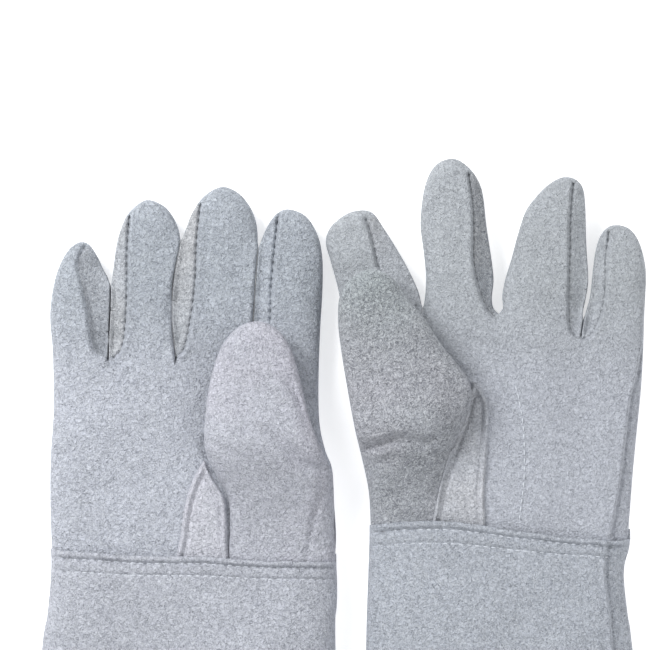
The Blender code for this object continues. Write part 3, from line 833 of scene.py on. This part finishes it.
def make_finishes():
    """The finishes by name. A name that starts with right_ or left_ is that glove's own."""
    pink, sand = (1.035, 0.98, 1.0), (1.06, 1.02, 0.97)
    return {
        "right_palm": suede("right", (0.435, 0.455, 0.515), nap=1.05, far=(0.81, 0.835, 0.83)),
        "left_palm": suede("left", (0.435, 0.455, 0.51), contrast=0.75, far=(0.90, 0.91, 0.875)),
        "right_cuff": suede("right_cuff", (0.42, 0.435, 0.49), nap=1.05, mottle=0.12),
        "left_cuff": suede("left_cuff", (0.375, 0.40, 0.45), mottle=0.14),
        "right_thumb": suede(
            "right_thumb", (0.455, 0.465, 0.525), warm=(0.6, pink), far=(0.93, 0.93, 0.93),
        ),
        "left_thumb": suede(
            "left_thumb", (0.302, 0.316, 0.348), nap=1.25, mottle=0.20, relief=1.25, warm=(0.5, pink),
            far=(0.85, 0.89, 0.86), contrast=1.3, sheen=0.4,
        ),
        "strip": suede("strip", (0.39, 0.41, 0.445), mottle=0.18, warm=(0.6, sand)),
        "shaded_strip": suede("shaded_strip", (0.235, 0.253, 0.282), mottle=0.20, warm=(0.6, sand)),
        # The right little finger's strip: darker leather, darkened further by painted shade for the shadow
        # where it sinks deep beside the finger.
        "dark_and_shaded_strip": suede("dark_and_shaded_strip", (0.315, 0.335, 0.372), mottle=0.22),
        "right_patch": suede("right_patch", (0.54, 0.545, 0.605), mottle=0.10, warm=(0.7, pink)),
        "left_patch": suede("left_patch", (0.445, 0.465, 0.515), mottle=0.14, warm=(0.7, sand)),
        "lining": fine_threads(
            "cotton_lining", (0.60, 0.59, 0.56), (1300, 3, 0.6), 0.14, (0.5, 0.0004), 0.95,
        ),
        "thread": fine_threads(
            "sewing_thread", (0.64, 0.67, 0.72), (2600, 2, 0.5), 0.12, (0.4, 0.0002), 0.6,
        ),
    }


# ---- the hand and its fingers

def tucked(line):
    """The points of an outline, with its two ends led down into the cuff."""
    return [(line[0][0] + 1.5, -TUCK), *line, (line[-1][0] - 1.5, -TUCK)]


class Finger:
    """One finger's part of the outline, with its crease, its seam and the side its strip lies on."""

    def __init__(self, glove, index):
        spec = glove.fingers[index]
        points = tucked(spec.edge)
        if index > 0:
            x, y = glove.crotches[index - 1]
            points[0] = (x + CROTCH_GAP, y)
        if index < len(glove.crotches):
            x, y = glove.crotches[index]
            points[-1] = (x - CROTCH_GAP, y)
        self.name = spec.name
        self.along = unit(np.array(spec.tip) - np.array(spec.root))
        self.across = np.array([self.along[1], -self.along[0]])
        self.crease = np.array(spec.root) + self.along * spec.crease
        line = smooth_curve(points, FRONT_SPACING)
        self.edge, self.cut = with_crossings(line, self.bend_point(-BEND), self.along)
        self.seam = smooth_curve(spec.seam, SEAM_SPACING)
        self.strip_side = spec.strip_side
        self.strip_drop = spec.strip_drop
        self.strip_finish = spec.strip_finish
        self.seam_depth = spec.seam_depth or glove.seam_depth

    def bend_point(self, beyond):
        """The point that far beyond the middle of the bend."""
        return self.crease + beyond * self.along

    def beyond(self, points):
        """How far points lie beyond the start of the bend."""
        return (points - self.crease) @ self.along + BEND

    def strip_sinking(self, points):
        """How far down the side strip lies, and 0 off it, with a soft step at the seam."""
        within = inside(points, self.strip_polygon()) & inside(points, self.edge)
        distance, position = nearest_on(points[within], self.seam)
        depth = np.zeros(len(points))
        share = position / arc_lengths(self.seam)[-1]
        depth[within] = smoothstep(distance / 1.8) * smoothstep(position / 10) * (0.8 + share)
        return self.strip_drop * depth

    def folds(self, points, seed):
        """The depth of shallow folds across the finger, at its crease and on both sides of it."""
        from_crease = (points - self.crease) @ self.along
        aside = (points - self.crease) @ self.across
        depth = 0
        for at, size in ((-2.0, 0.45), (17.0, 0.3), (-19.0, 0.3)):
            bow = at + 0.004 * aside**2 + 1.5 * math.sin(at + seed)
            depth = depth + size * ridge(from_crease, bow, 2.4)
        return np.where(inside(points, self.edge), depth, 0)

    def strip_polygon(self):
        wide = STRIP_REACH * self.strip_side * self.across
        return np.vstack([self.seam, (self.seam + wide)[::-1]])


def down_to_cuff(outline):
    """The closed outline, led far down inside the cuff, so that it stays high at the wrist."""
    return np.vstack([outline, [(outline[-1][0], BELOW_WRIST), (outline[0][0], BELOW_WRIST)]])


def with_crossings(line, point, direction):
    """The line with points added where it crosses, and the first and last of those points' indices."""
    far = (line - point) @ direction
    rows, marks = [], []
    for i, p in enumerate(line[:-1]):
        rows.append(p)
        if far[i] * far[i + 1] < 0:
            marks.append(len(rows))
            rows.append(p + (line[i + 1] - p) * far[i] / (far[i] - far[i + 1]))
    rows.append(line[-1])
    return np.array(rows), (marks[0], marks[-1])


def pressed_towards(line, other):
    """The line, with the points that nearly touch the other line moved almost half way to it."""
    a, d = other[:-1], np.diff(other, axis=0)
    moved = line.copy()
    for i, p in enumerate(line):
        t = np.clip(((p - a) * d).sum(1) / (d**2).sum(1), 0, 1)
        spots = a + t[:, None] * d
        away = np.linalg.norm(spots - p, axis=1)
        k = away.argmin()
        if 2 * CROTCH_GAP < away[k] < PRESSED:
            share = smoothstep((PRESSED - away[k]) / 0.5) * 0.5 * (1 - CROTCH_GAP / away[k])
            moved[i] = p + share * (spots[k] - p)
    return moved


class Hand:
    """The hand of one glove, worked out flat and raised on both sides."""

    def __init__(self, glove):
        self.glove = glove
        self.fingers = [Finger(glove, i) for i in range(len(glove.fingers))]
        for a, b in zip(self.fingers, self.fingers[1:]):
            a.edge, b.edge = pressed_towards(a.edge, b.edge), pressed_towards(b.edge, a.edge)
        outline, cuts = [], []
        for finger in self.fingers:
            base = len(outline)
            cuts.append((base + finger.cut[0], base + finger.cut[1]))
            outline += list(finger.edge)
        self.outline = np.array(outline)
        self.membrane = Membrane(down_to_cuff(self.outline))
        self.rises = self.rim_rises()
        self.thumb_foot = thumb_foot(glove)
        self.seams = [finger.seam for finger in self.fingers]
        if glove.side_seam:
            self.seams.append(smooth_curve(glove.side_seam, SEAM_SPACING))
        clear = [seam[self.deep(seam, 0.8)] for seam in self.seams]
        self.front = Panel(self.outline, FRONT_SPACING, cuts, clear)
        self.back = Panel(self.outline, BACK_SPACING, cuts)

    def deep(self, line, least):
        """Which points of a line lie inside the outline and at least that far from it."""
        return inside(line, self.outline) & (nearest_on(line, closed(self.outline))[0] > least)

    def rim_rises(self):
        """How far each outline point rises where its finger is pressed against the next one."""
        rises = []
        for finger in self.fingers:
            gap = np.full(len(finger.edge), np.inf)
            for other in self.fingers:
                if other is not finger:
                    gap = np.minimum(gap, nearest_on(finger.edge, other.edge)[0])
            rises.append(TOUCH_RISE * ridge(gap, 0, 2.2))
        return np.concatenate(rises)

    def outline_height(self):
        return SEAM_HEIGHT + self.rises

    def rim_height(self, points):
        """The height of the sewn edge nearest to each point, fading to the usual height further in."""
        distance, position = nearest_on(points, self.outline)
        rise = np.interp(position, arc_lengths(self.outline), self.rises)
        return SEAM_HEIGHT + rise * np.exp(-distance / 3)

    def front_height(self, points):
        swelling, depth = self.membrane.at(points)
        rim = self.rim_height(points)
        z = rim + (PALM_TOP - rim - UNEVEN_ROOM) * np.sqrt(swelling)
        fade = smoothstep(depth / SOFT_EDGE)
        z += unevenness(points, self.glove.seed) * fade
        near_edge = smoothstep(depth / SEWN_EDGE)
        for finger in self.fingers:
            seam = groove(points, finger.seam, finger.seam_depth, width=0.75, pucker=0.3, lip=0.26)
            z += seam * near_edge
            z -= finger.strip_sinking(points) * near_edge
            z -= finger.folds(points, self.glove.seed) * fade
        z += groove(points, self.thumb_foot, depth=1.5, width=1.5) * fade
        if self.glove.side_seam:
            z += (with_side_seam(points, z, self.seams[-1]) - z) * near_edge
        for fold in folds_on("hand", self.glove, points):
            z += fold * fade
        return z

    def back_height(self, points):
        swelling, depth = self.membrane.at(points)
        rim = self.rim_height(points)
        z = rim - (rim - BACK_LOW) * np.minimum(1, BACK_FLATNESS * np.sqrt(swelling))
        dents = np.maximum(0, unevenness(points, self.glove.seed + 5)) * smoothstep(depth / SOFT_EDGE)
        return z + 0.6 * dents

    def labelled(self, panel, belongs):
        """For each face, the finger to which its centre belongs, or -1 where it belongs to none."""
        centres = panel.centres()
        label = np.full(len(centres), -1)
        for k, finger in enumerate(self.fingers):
            label[inside(centres, finger.edge) & belongs(finger, centres)] = k
        return label

    def labels(self, panel):
        """For each face, the finger it bends with, or -1 for the hand."""
        return self.labelled(panel, lambda finger, centres: finger.beyond(centres) > 0)

    def strips(self, panel):
        """For each face, the finger whose side strip it is on, or -1 off the strips."""
        return self.labelled(panel, lambda finger, centres: inside(centres, finger.strip_polygon()))


def build_hand(glove, hidden):
    """Palm, back, side strips and fingers. `hidden` says which palm faces the thumb's base covers."""
    hand = Hand(glove)
    verts, under, normals = sewn_shell(glove, hand)
    over = hand.front.faces
    over_label, under_label = hand.labels(hand.front), hand.labels(hand.back)
    strip = hand.strips(hand.front)
    fixed = (over_label < 0) & ~hidden(hand.front.centres())

    def add(part, faces, finish, slot, nodes, bend=None):
        return glove.dress(glove.piece(part, verts, faces, finish, normals), slot, nodes, bend)

    palm_faces = over[fixed & (strip < 0)]
    palm = add("palm_skin", palm_faces, "palm", "palm_leather", glove.named("palm_panel"))
    add("back_skin", under[under_label < 0], "palm", "palm_leather", glove.named("back_panel"))
    between = [f"fourchette_{a.name}_{b.name}" for a, b in zip(hand.fingers, hand.fingers[1:])]
    for k, finger in enumerate(hand.fingers):
        tip = f"{finger.name}_tip"
        bend = glove.bend("hand", finger.name, finger.bend_point(-BEND), finger.bend_point(BEND))
        add(
            f"{finger.name}_strip_root", over[fixed & (strip == k)], finger.strip_finish,
            "fourchette_leather", glove.named(*between[k : k + 1]),
        )
        around = np.vstack([over[(over_label == k) & (strip < 0)], under[under_label == k]])
        nodes = glove.named(f"{tip}_front", f"{tip}_back")
        add(f"{finger.name}_skin", around, "palm", "finger_leather", nodes, bend)
        own_strips = tuple(glove.named(f"{tip}_fourchette"))
        add(
            f"{finger.name}_strip", over[(over_label == k) & (strip == k)], finger.strip_finish,
            "fourchette_leather", [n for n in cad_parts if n.startswith(own_strips)], bend,
        )
    return palm


# ---- the thumb and its base

def thumb_line(glove):
    """The thumb's whole outline, down into the cuff on both sides."""
    return smooth_curve(tucked(glove.thumb_edge), FRONT_SPACING)


def thumb_axis(glove):
    """The middle of the thumb's hinge line, and the direction in which the thumb points."""
    a, b = (np.array(p) for p in glove.thumb_hinge)
    across = unit(b - a)
    return (a + b) / 2, np.array([-across[1], across[0]])


def thumb_foot(glove):
    """The edge of the thumb's base that lies on the palm."""
    line = thumb_line(glove)
    middle, along = thumb_axis(glove)
    rise = (line - middle) @ along
    tip = int(rise.argmax())
    inner = slice(0, tip) if glove.thumb_side > 0 else slice(tip, None)
    return line[inner][rise[inner] < FOOT_END]


class Thumb:
    """The thumb of one glove and its raised base, lying over the palm."""

    def __init__(self, glove):
        self.glove = glove
        self.middle, self.along = thumb_axis(glove)
        self.split, self.bend_end = (self.middle + self.along * far for far in THUMB_BEND)
        self.outline, cut = with_crossings(thumb_line(glove), self.split, self.along)
        self.membrane = Membrane(down_to_cuff(self.outline))
        tip = int(self.rise(self.outline).argmax())
        sides = (self.outline[: tip + 1], self.outline[tip:])
        self.inner, self.outer = sides if glove.thumb_side > 0 else sides[::-1]
        self.front = Panel(self.outline, FRONT_SPACING, [cut])
        self.back = Panel(self.outline, BACK_SPACING, [cut])

    def rise(self, points):
        """How far points lie beyond the thumb's hinge line."""
        return (points - self.middle) @ self.along

    def rim_height(self, points):
        """The height of the thumb's edge: on the palm and the side seam at its base, free above it."""
        to_inner, to_outer = nearest_on(points, self.inner)[0], nearest_on(points, self.outer)[0]
        share = to_outer / np.maximum(to_inner + to_outer, 1e-6)
        low = SEAM_HEIGHT + (THUMB_FOOT - SEAM_HEIGHT) * share
        return low + (THUMB_SEAM - low) * rising(self.rise(points), *THUMB_FREE)

    def front_height(self, points):
        swelling, depth = self.membrane.at(points)
        rim = self.rim_height(points)
        lift = rising(self.rise(points), *THUMB_LIFT)
        top = THUMB_END_TOP + (THUMB_TOP - THUMB_END_TOP) * lift
        z = rim + (top - rim) * np.sqrt(swelling)
        fade = smoothstep(depth / SOFT_EDGE)
        z += unevenness(points, self.glove.seed + 2) * fade * (0.4 + 0.6 * lift)
        for fold in folds_on("thumb", self.glove, points):
            z += fold * smoothstep(depth / 4)
        return z

    def outline_height(self):
        return self.rim_height(self.front.points[: self.front.rim])

    def is_free(self, panel):
        """Which faces bend with the thumb."""
        return (panel.centres() - self.split) @ self.along > 0

    def back_height(self, points):
        swelling = self.membrane.at(points)[0]
        rim = self.rim_height(points)
        return rim - (rim - np.minimum(rim, THUMB_LOW)) * np.sqrt(swelling)

    def covers(self, points):
        """Which points of the palm lie well under the thumb's base."""
        beside = nearest_on(points, self.inner)[0] < COVERED_FROM
        return inside(points, self.outline) & (self.rise(points) < THUMB_FREE[0]) & ~beside


def build_thumb(glove, thumb):
    """The thumb's raised base on the palm, which is returned, and the free thumb."""
    verts, under, normals = sewn_shell(glove, thumb)
    over = thumb.front.faces
    free_over, free_under = thumb.is_free(thumb.front), thumb.is_free(thumb.back)
    base = glove.piece("thumb_mound", verts, over[~free_over], "thumb", normals)
    glove.dress(base, "thumb_leather", glove.named("thumb_base"))
    around = np.vstack([over[free_over], under[free_under]])
    skin = glove.piece("thumb_skin", verts, around, "thumb", normals)
    bend = glove.bend("hand", "thumb", thumb.split, thumb.bend_end)
    glove.dress(skin, "thumb_leather", glove.named("thumb_front", "thumb_back"), bend)
    return base


# ---- the gauntlet cuff

class Cuff:
    """The cuff of one glove: a flattened tube that laps over the hand and flares to its mouth."""

    def __init__(self, glove):
        self.glove = glove
        self.left = smooth_curve(glove.cuff_left, 2)[::-1]
        self.right = smooth_curve(glove.cuff_right, 2)[::-1]
        self.top_edge = smooth_curve(glove.cuff_edge, 2)
        self.seam = smooth_curve(glove.cuff_seam, 2) if glove.cuff_seam else None

    def sides(self, y):
        return tuple(np.interp(y, side[:, 1], side[:, 0]) for side in (self.left, self.right))

    def edge_line(self, x, below):
        """Where the line that runs so far below the lapped, slightly uneven top edge is at x."""
        uneven = 0.5 * noise.noise(Vector((x / 9, 0, self.glove.seed)))
        edge = float(np.interp(x, self.top_edge[:, 0], self.top_edge[:, 1])) + uneven
        return edge * math.exp(-below / EDGE_FADE) - below

    def point(self, turn, along, front):
        """The point at `turn` (-1 to 1 across the glove) and `along` millimetres below the top edge."""
        left, right = self.sides(-along)
        x = (left + right) / 2 + turn * (right - left) / 2
        y = self.edge_line(x, along) if front else -along
        flare = min(1.0, along / CUFF_LENGTH)
        reach = REACH + MOUTH_REACH * flare**2
        half = (right - left) / 2
        swelling = 1 - math.cosh(turn * half / reach) / math.cosh(half / reach)
        rise = math.sqrt(max(0.0, swelling / (1 - 1 / math.cosh(half / reach))))
        if not front:
            return x, y, SEAM_HEIGHT - (SEAM_HEIGHT - BACK_LOW) * min(1.0, BACK_FLATNESS * rise)
        top = CUFF_TOP + (CUFF_MOUTH_TOP - CUFF_TOP) * float(smoothstep(flare))
        return x, y, SEAM_HEIGHT + (top - SEAM_HEIGHT) * rise

    def relief(self, points, along, turns):
        """Folded top edge, sewn rows and hem, raised or pressed on the palm side."""
        fade = smoothstep((1 - np.abs(turns)) / 0.06)
        z = unevenness(points, self.glove.seed + 7, ((46, 1.3), (17, 0.5), (6, 0.14)))
        z *= smoothstep(along / 14)
        pull = 1 + 0.35 * np.cos(2 * math.pi * points[:, 0] / STITCH_PITCH)
        z += 1.0 * ridge(along, 1.6, 1.2)
        drift = np.array([noise.noise(Vector((x / 7, self.glove.seed, 0))) for x in points[:, 0]])
        for at, depth in ((3.7, 1.4), (10.0, 0.8), (CUFF_LENGTH - HEM, 1.0)):
            z -= depth * ridge(along - at, 0.5 * drift, 0.65) * pull * (1 + 0.5 * drift)
        z += 0.5 * ridge(along, 7.0, 2.0)
        return z * fade


def cuff_rows():
    """Distances below the top edge, close together where the rows of stitches are."""
    low, high = 13, CUFF_LENGTH - 13
    between = np.arange(low, high, 2.2)
    return np.concatenate([np.arange(0, low, 0.6), between, np.arange(high, CUFF_LENGTH + 0.1, 1.0)])


def cuff_turns(cuff):
    """Columns across the cuff, close together at its edges and along its side seam."""
    turns = -np.cos(np.linspace(0, math.pi, 92))
    if cuff.seam is None:
        return turns
    low, high = SEAM_TURNS
    beside = (turns < low) | (turns > high)
    return np.sort(np.concatenate([turns[beside], np.arange(low + 0.003, high, 0.005)]))


def build_cuff(glove, cuff):
    """The cuff with its lapped collar, a tube of leather round the wrist. Returns the piece."""
    rows, turns = cuff_rows(), cuff_turns(cuff)
    front = np.array([[cuff.point(turn, along, True) for turn in turns] for along in rows])
    back = np.array([[cuff.point(turn, along, False) for turn in turns] for along in rows])
    along, across = np.repeat(rows, len(turns)), np.tile(turns, len(rows))
    flat = front.reshape(-1, 3)
    flat[:, 2] += cuff.relief(flat[:, :2], along, across)
    if cuff.seam is not None:
        sewn = with_side_seam(flat[:, :2], flat[:, 2], cuff.seam)
        flat[:, 2] += (sewn - flat[:, 2]) * smoothstep((1 - np.abs(across)) / 0.03)
    front = flat.reshape(front.shape)
    front[:, 0], front[:, -1] = [(front[:, k] + back[:, k]) / 2 for k in (0, -1)]
    verts, faces = tube(np.concatenate([front, back[:, -2:0:-1]], axis=1))
    made = glove.piece("cuff_skin", glove.metres(verts), faces, "cuff")
    thicken(made, LEATHER)
    nodes = glove.named("cuff_front", "cuff_back", "collar_front", "collar_back")
    return glove.dress(made, "cuff_leather", nodes, glove.wrist_bend)


# ---- patch, lining and stitches

class Surface:
    """The top of some pieces, to lay things on."""

    def __init__(self, *pieces):
        verts, faces = [], []
        for made in pieces:
            base = len(verts)
            verts += [v.co.copy() for v in made.data.vertices]
            faces += [[base + i for i in f.vertices] for f in made.data.polygons]
        self.tree = BVHTree.FromPolygons(verts, faces)

    def drop(self, x, y):
        """The highest point under (x, y) in metres and the normal there, or None and None."""
        return self.tree.ray_cast(Vector((x, y, DROP_FROM)), Vector((0, 0, -1)))[:2]


def build_patch(glove, surface):
    """The reinforcing strip beside the thumb, with raised folded edges, laid on the surface."""
    line = smooth_curve([*glove.patch, glove.patch[0]], 1.4)[:-1][::-1]
    panel = Panel(line, PATCH_SPACING, rings=PATCH_RINGS)
    depth = nearest_on(panel.points, closed(line))[0]
    # A rounded edge with a folded ridge just inside it, and a sewn line further in.
    lift = 1.8 * np.sqrt(np.minimum(1, depth / 1.1)) - 0.5
    lift += 1.2 * ridge(depth, 1.7, 1.1) - 1.0 * ridge(depth, 3.8, 0.8)
    lift += 0.5 * unevenness(panel.points, glove.seed + 9)
    spots = glove.metres(np.column_stack([panel.points, np.zeros(len(panel.points))]))
    for spot, rise in zip(spots, lift):
        hit, _ = surface.drop(spot[0], spot[1])
        spot[2] = (hit.z if hit else PALM_TOP * MM) + rise * MM
    made = glove.piece("thumb_patch_skin", spots, panel.faces, "patch")
    glove.dress(made, "patch_leather", glove.named("thumb_patch"))


def build_lining(glove, cuff):
    """A cotton tube inside the wrist and the hand, closed towards the fingers."""
    turns = -np.cos(np.linspace(0, math.pi, 44))
    rings = []
    for depth in np.concatenate([np.linspace(LINING_IN_CUFF, 0, 21), np.linspace(-4, -LINING_IN_HAND, 21)]):
        inwards = max(0, -depth)
        inset = LINING_GAP + 0.08 * inwards + 10 * max(0, (inwards - 70) / 14) ** 2
        flattening = max(0.05, 1 - max(0, (inwards - 60) / 26))
        left, right = cuff.sides(-max(depth, 0))
        if cuff.seam is not None:
            right -= LINING_SEAM_ROOM
        centre, half = (left + right) / 2, (right - left) / 2 - inset
        ring = []
        for height, side_turns in zip(LINING_HEIGHTS, (turns, turns[-2:0:-1])):
            for turn in side_turns:
                rise = (height - SEAM_HEIGHT) * math.sqrt(max(0.0, 1 - abs(turn) ** 5))
                ring.append((centre + turn * half, -depth, SEAM_HEIGHT + rise * flattening))
        rings.append(ring)
    verts, faces = tube(np.array(rings))
    made = glove.piece("inner_lining", glove.metres(verts), faces, "lining")
    thicken(made, LINING)
    glove.dress(made, "cotton_lining", glove.named("palm_lining", "back_lining"), glove.wrist_bend)


def stitch_row(glove, part, line, surface, length=2.9, radius=0.36, sink=0.10):
    """A row of short threads laid along a line in the glove's plane, in one mesh."""
    work = bmesh.new()
    line = smooth_curve(line, 0.7)
    along = arc_lengths(line)
    middle = STITCH_PITCH / 2
    while middle < along[-1] - STITCH_PITCH / 2:
        reach = (middle - length / 2, middle + length / 2)
        ends = [[np.interp(at, along, line[:, k]) for k in (0, 1)] for at in reach]
        spots = [glove.point(end) for end in ends]
        add_stitch(work, [surface.drop(spot[0], spot[1]) for spot in spots], radius * MM, sink * MM)
        middle += STITCH_PITCH
    mesh = bpy.data.meshes.new(f"{glove.name}_{part}_stitches")
    work.to_mesh(mesh)
    work.free()
    return glove.covered(mesh, "thread")


def add_stitch(work, ends, radius, sink):
    """One thread: a short rounded bar whose ends, each a point and a normal, dip into the leather."""
    (a, first_normal), (b, last_normal) = ends
    if a is None or b is None:
        return
    up = (first_normal + last_normal).normalized()
    ahead = (b - a).normalized()
    side = up.cross(ahead).normalized()
    rings = []
    for share, size, dip in STITCH_PROFILE:
        centre = a.lerp(b, share) + up * (dip * radius - sink)
        turns = [k * 2 * math.pi / STITCH_SIDES for k in range(STITCH_SIDES)]
        ring = [centre + radius * size * (side * math.cos(t) + up * math.sin(t)) for t in turns]
        rings.append([work.verts.new(spot) for spot in ring])
    for first, second in zip(rings, rings[1:]):
        for k in range(STITCH_SIDES):
            n = (k + 1) % STITCH_SIDES
            work.faces.new((first[k], second[k], second[n], first[n]))
    work.faces.new(rings[0])
    work.faces.new(rings[-1][::-1])


def build_stitches(glove, cuff, on_cuff, on_palm):
    """Two rows round the cuff's top edge, one at its hem, and one on the palm that has one."""
    left, right = cuff.sides(-8)
    for label, below in (("edge", EDGE_ROW), ("second", SECOND_ROW)):
        line = [(x, cuff.edge_line(x, below)) for x in np.linspace(left + 3.5, right - 3.5, 24)]
        row = stitch_row(glove, f"cuff_{label}", line, on_cuff)
        glove.dress(row, "cuff_leather", bend=glove.wrist_bend)
    if glove.palm_stitches:
        row = stitch_row(glove, "palm", glove.palm_stitches, on_palm, length=2.8, radius=0.34, sink=-0.22)
        glove.dress(row, "palm_leather")
    left, right = cuff.sides(HEM - CUFF_LENGTH)
    line = [(x, HEM - CUFF_LENGTH) for x in np.linspace(left + 6, right - 6, 24)]
    glove.dress(stitch_row(glove, "hem", line, on_cuff), "cuff_leather", body="cuff")


# ---- the whole pair, and the studio

def build_glove(glove):
    thumb, cuff = Thumb(glove), Cuff(glove)
    palm = build_hand(glove, thumb.covers)
    thumb_base = build_thumb(glove, thumb)
    build_patch(glove, Surface(palm, thumb_base) if glove.patch_on_thumb else Surface(palm))
    cuff_piece = build_cuff(glove, cuff)
    build_lining(glove, cuff)
    build_stitches(glove, cuff, Surface(cuff_piece), Surface(palm))


def pale_floor():
    """A white sweep, itself a little bright, as a light table is."""
    made = bpy.data.materials.new("floor_white")
    made.use_nodes = True
    settings(made.node_tree.nodes["Principled BSDF"], {
        "Base Color": (0.92, 0.92, 0.92, 1), "Roughness": 0.9, "Specular IOR Level": 0.1,
        "Emission Color": (1, 1, 1, 1), "Emission Strength": 0.5,
    })
    return made


def build_studio():
    """A plain pale floor, one large soft light from the upper left and an even fill."""
    bpy.ops.mesh.primitive_plane_add(size=16, location=(0, 0, -0.0002))
    floor = bpy.context.object
    floor.name = "floor"
    floor.data.materials.append(pale_floor())
    world = bpy.data.worlds.new("studio")
    world.use_nodes = True
    settings(world.node_tree.nodes["Background"], {"Color": (0.98, 0.99, 1, 1), "Strength": 0.565})
    bpy.context.scene.world = world
    bpy.context.scene.view_settings.view_transform = "Standard"
    aim = Vector((0, 0.05, 0.02))
    for name, where, size, power in (
        ("key", (-0.80, 0.75, 0.95), 0.6, 18.0),
        ("fill", (0.9, -0.4, 1.2), 1.2, 6.6),
    ):
        light = bpy.data.lights.new(name, "AREA")
        light.size = size
        light.energy = power
        lamp = new_object(name, light)
        lamp.location = where
        lamp.rotation_euler = (aim - Vector(where)).to_track_quat("-Z", "Y").to_euler()


def build_camera(right):
    """Looks straight down on the hands, with the cuffs running out of the bottom of the view."""
    width, height, distance = 0.338, 0.02, 1.8
    camera = bpy.data.cameras.new("camera")
    camera.sensor_width = 36
    camera.lens = camera.sensor_width * (distance - height) / width
    made = new_object("camera", camera)
    made.location = (*right.point((68.6, 119.6))[:2], distance)
    bpy.context.scene.camera = made


def main():
    finishes = make_finishes()
    gloves = [Glove(finishes, **measures) for measures in (RIGHT_GLOVE, LEFT_GLOVE)]
    for glove in gloves:
        build_glove(glove)
    build_studio()
    build_camera(gloves[0])


main()
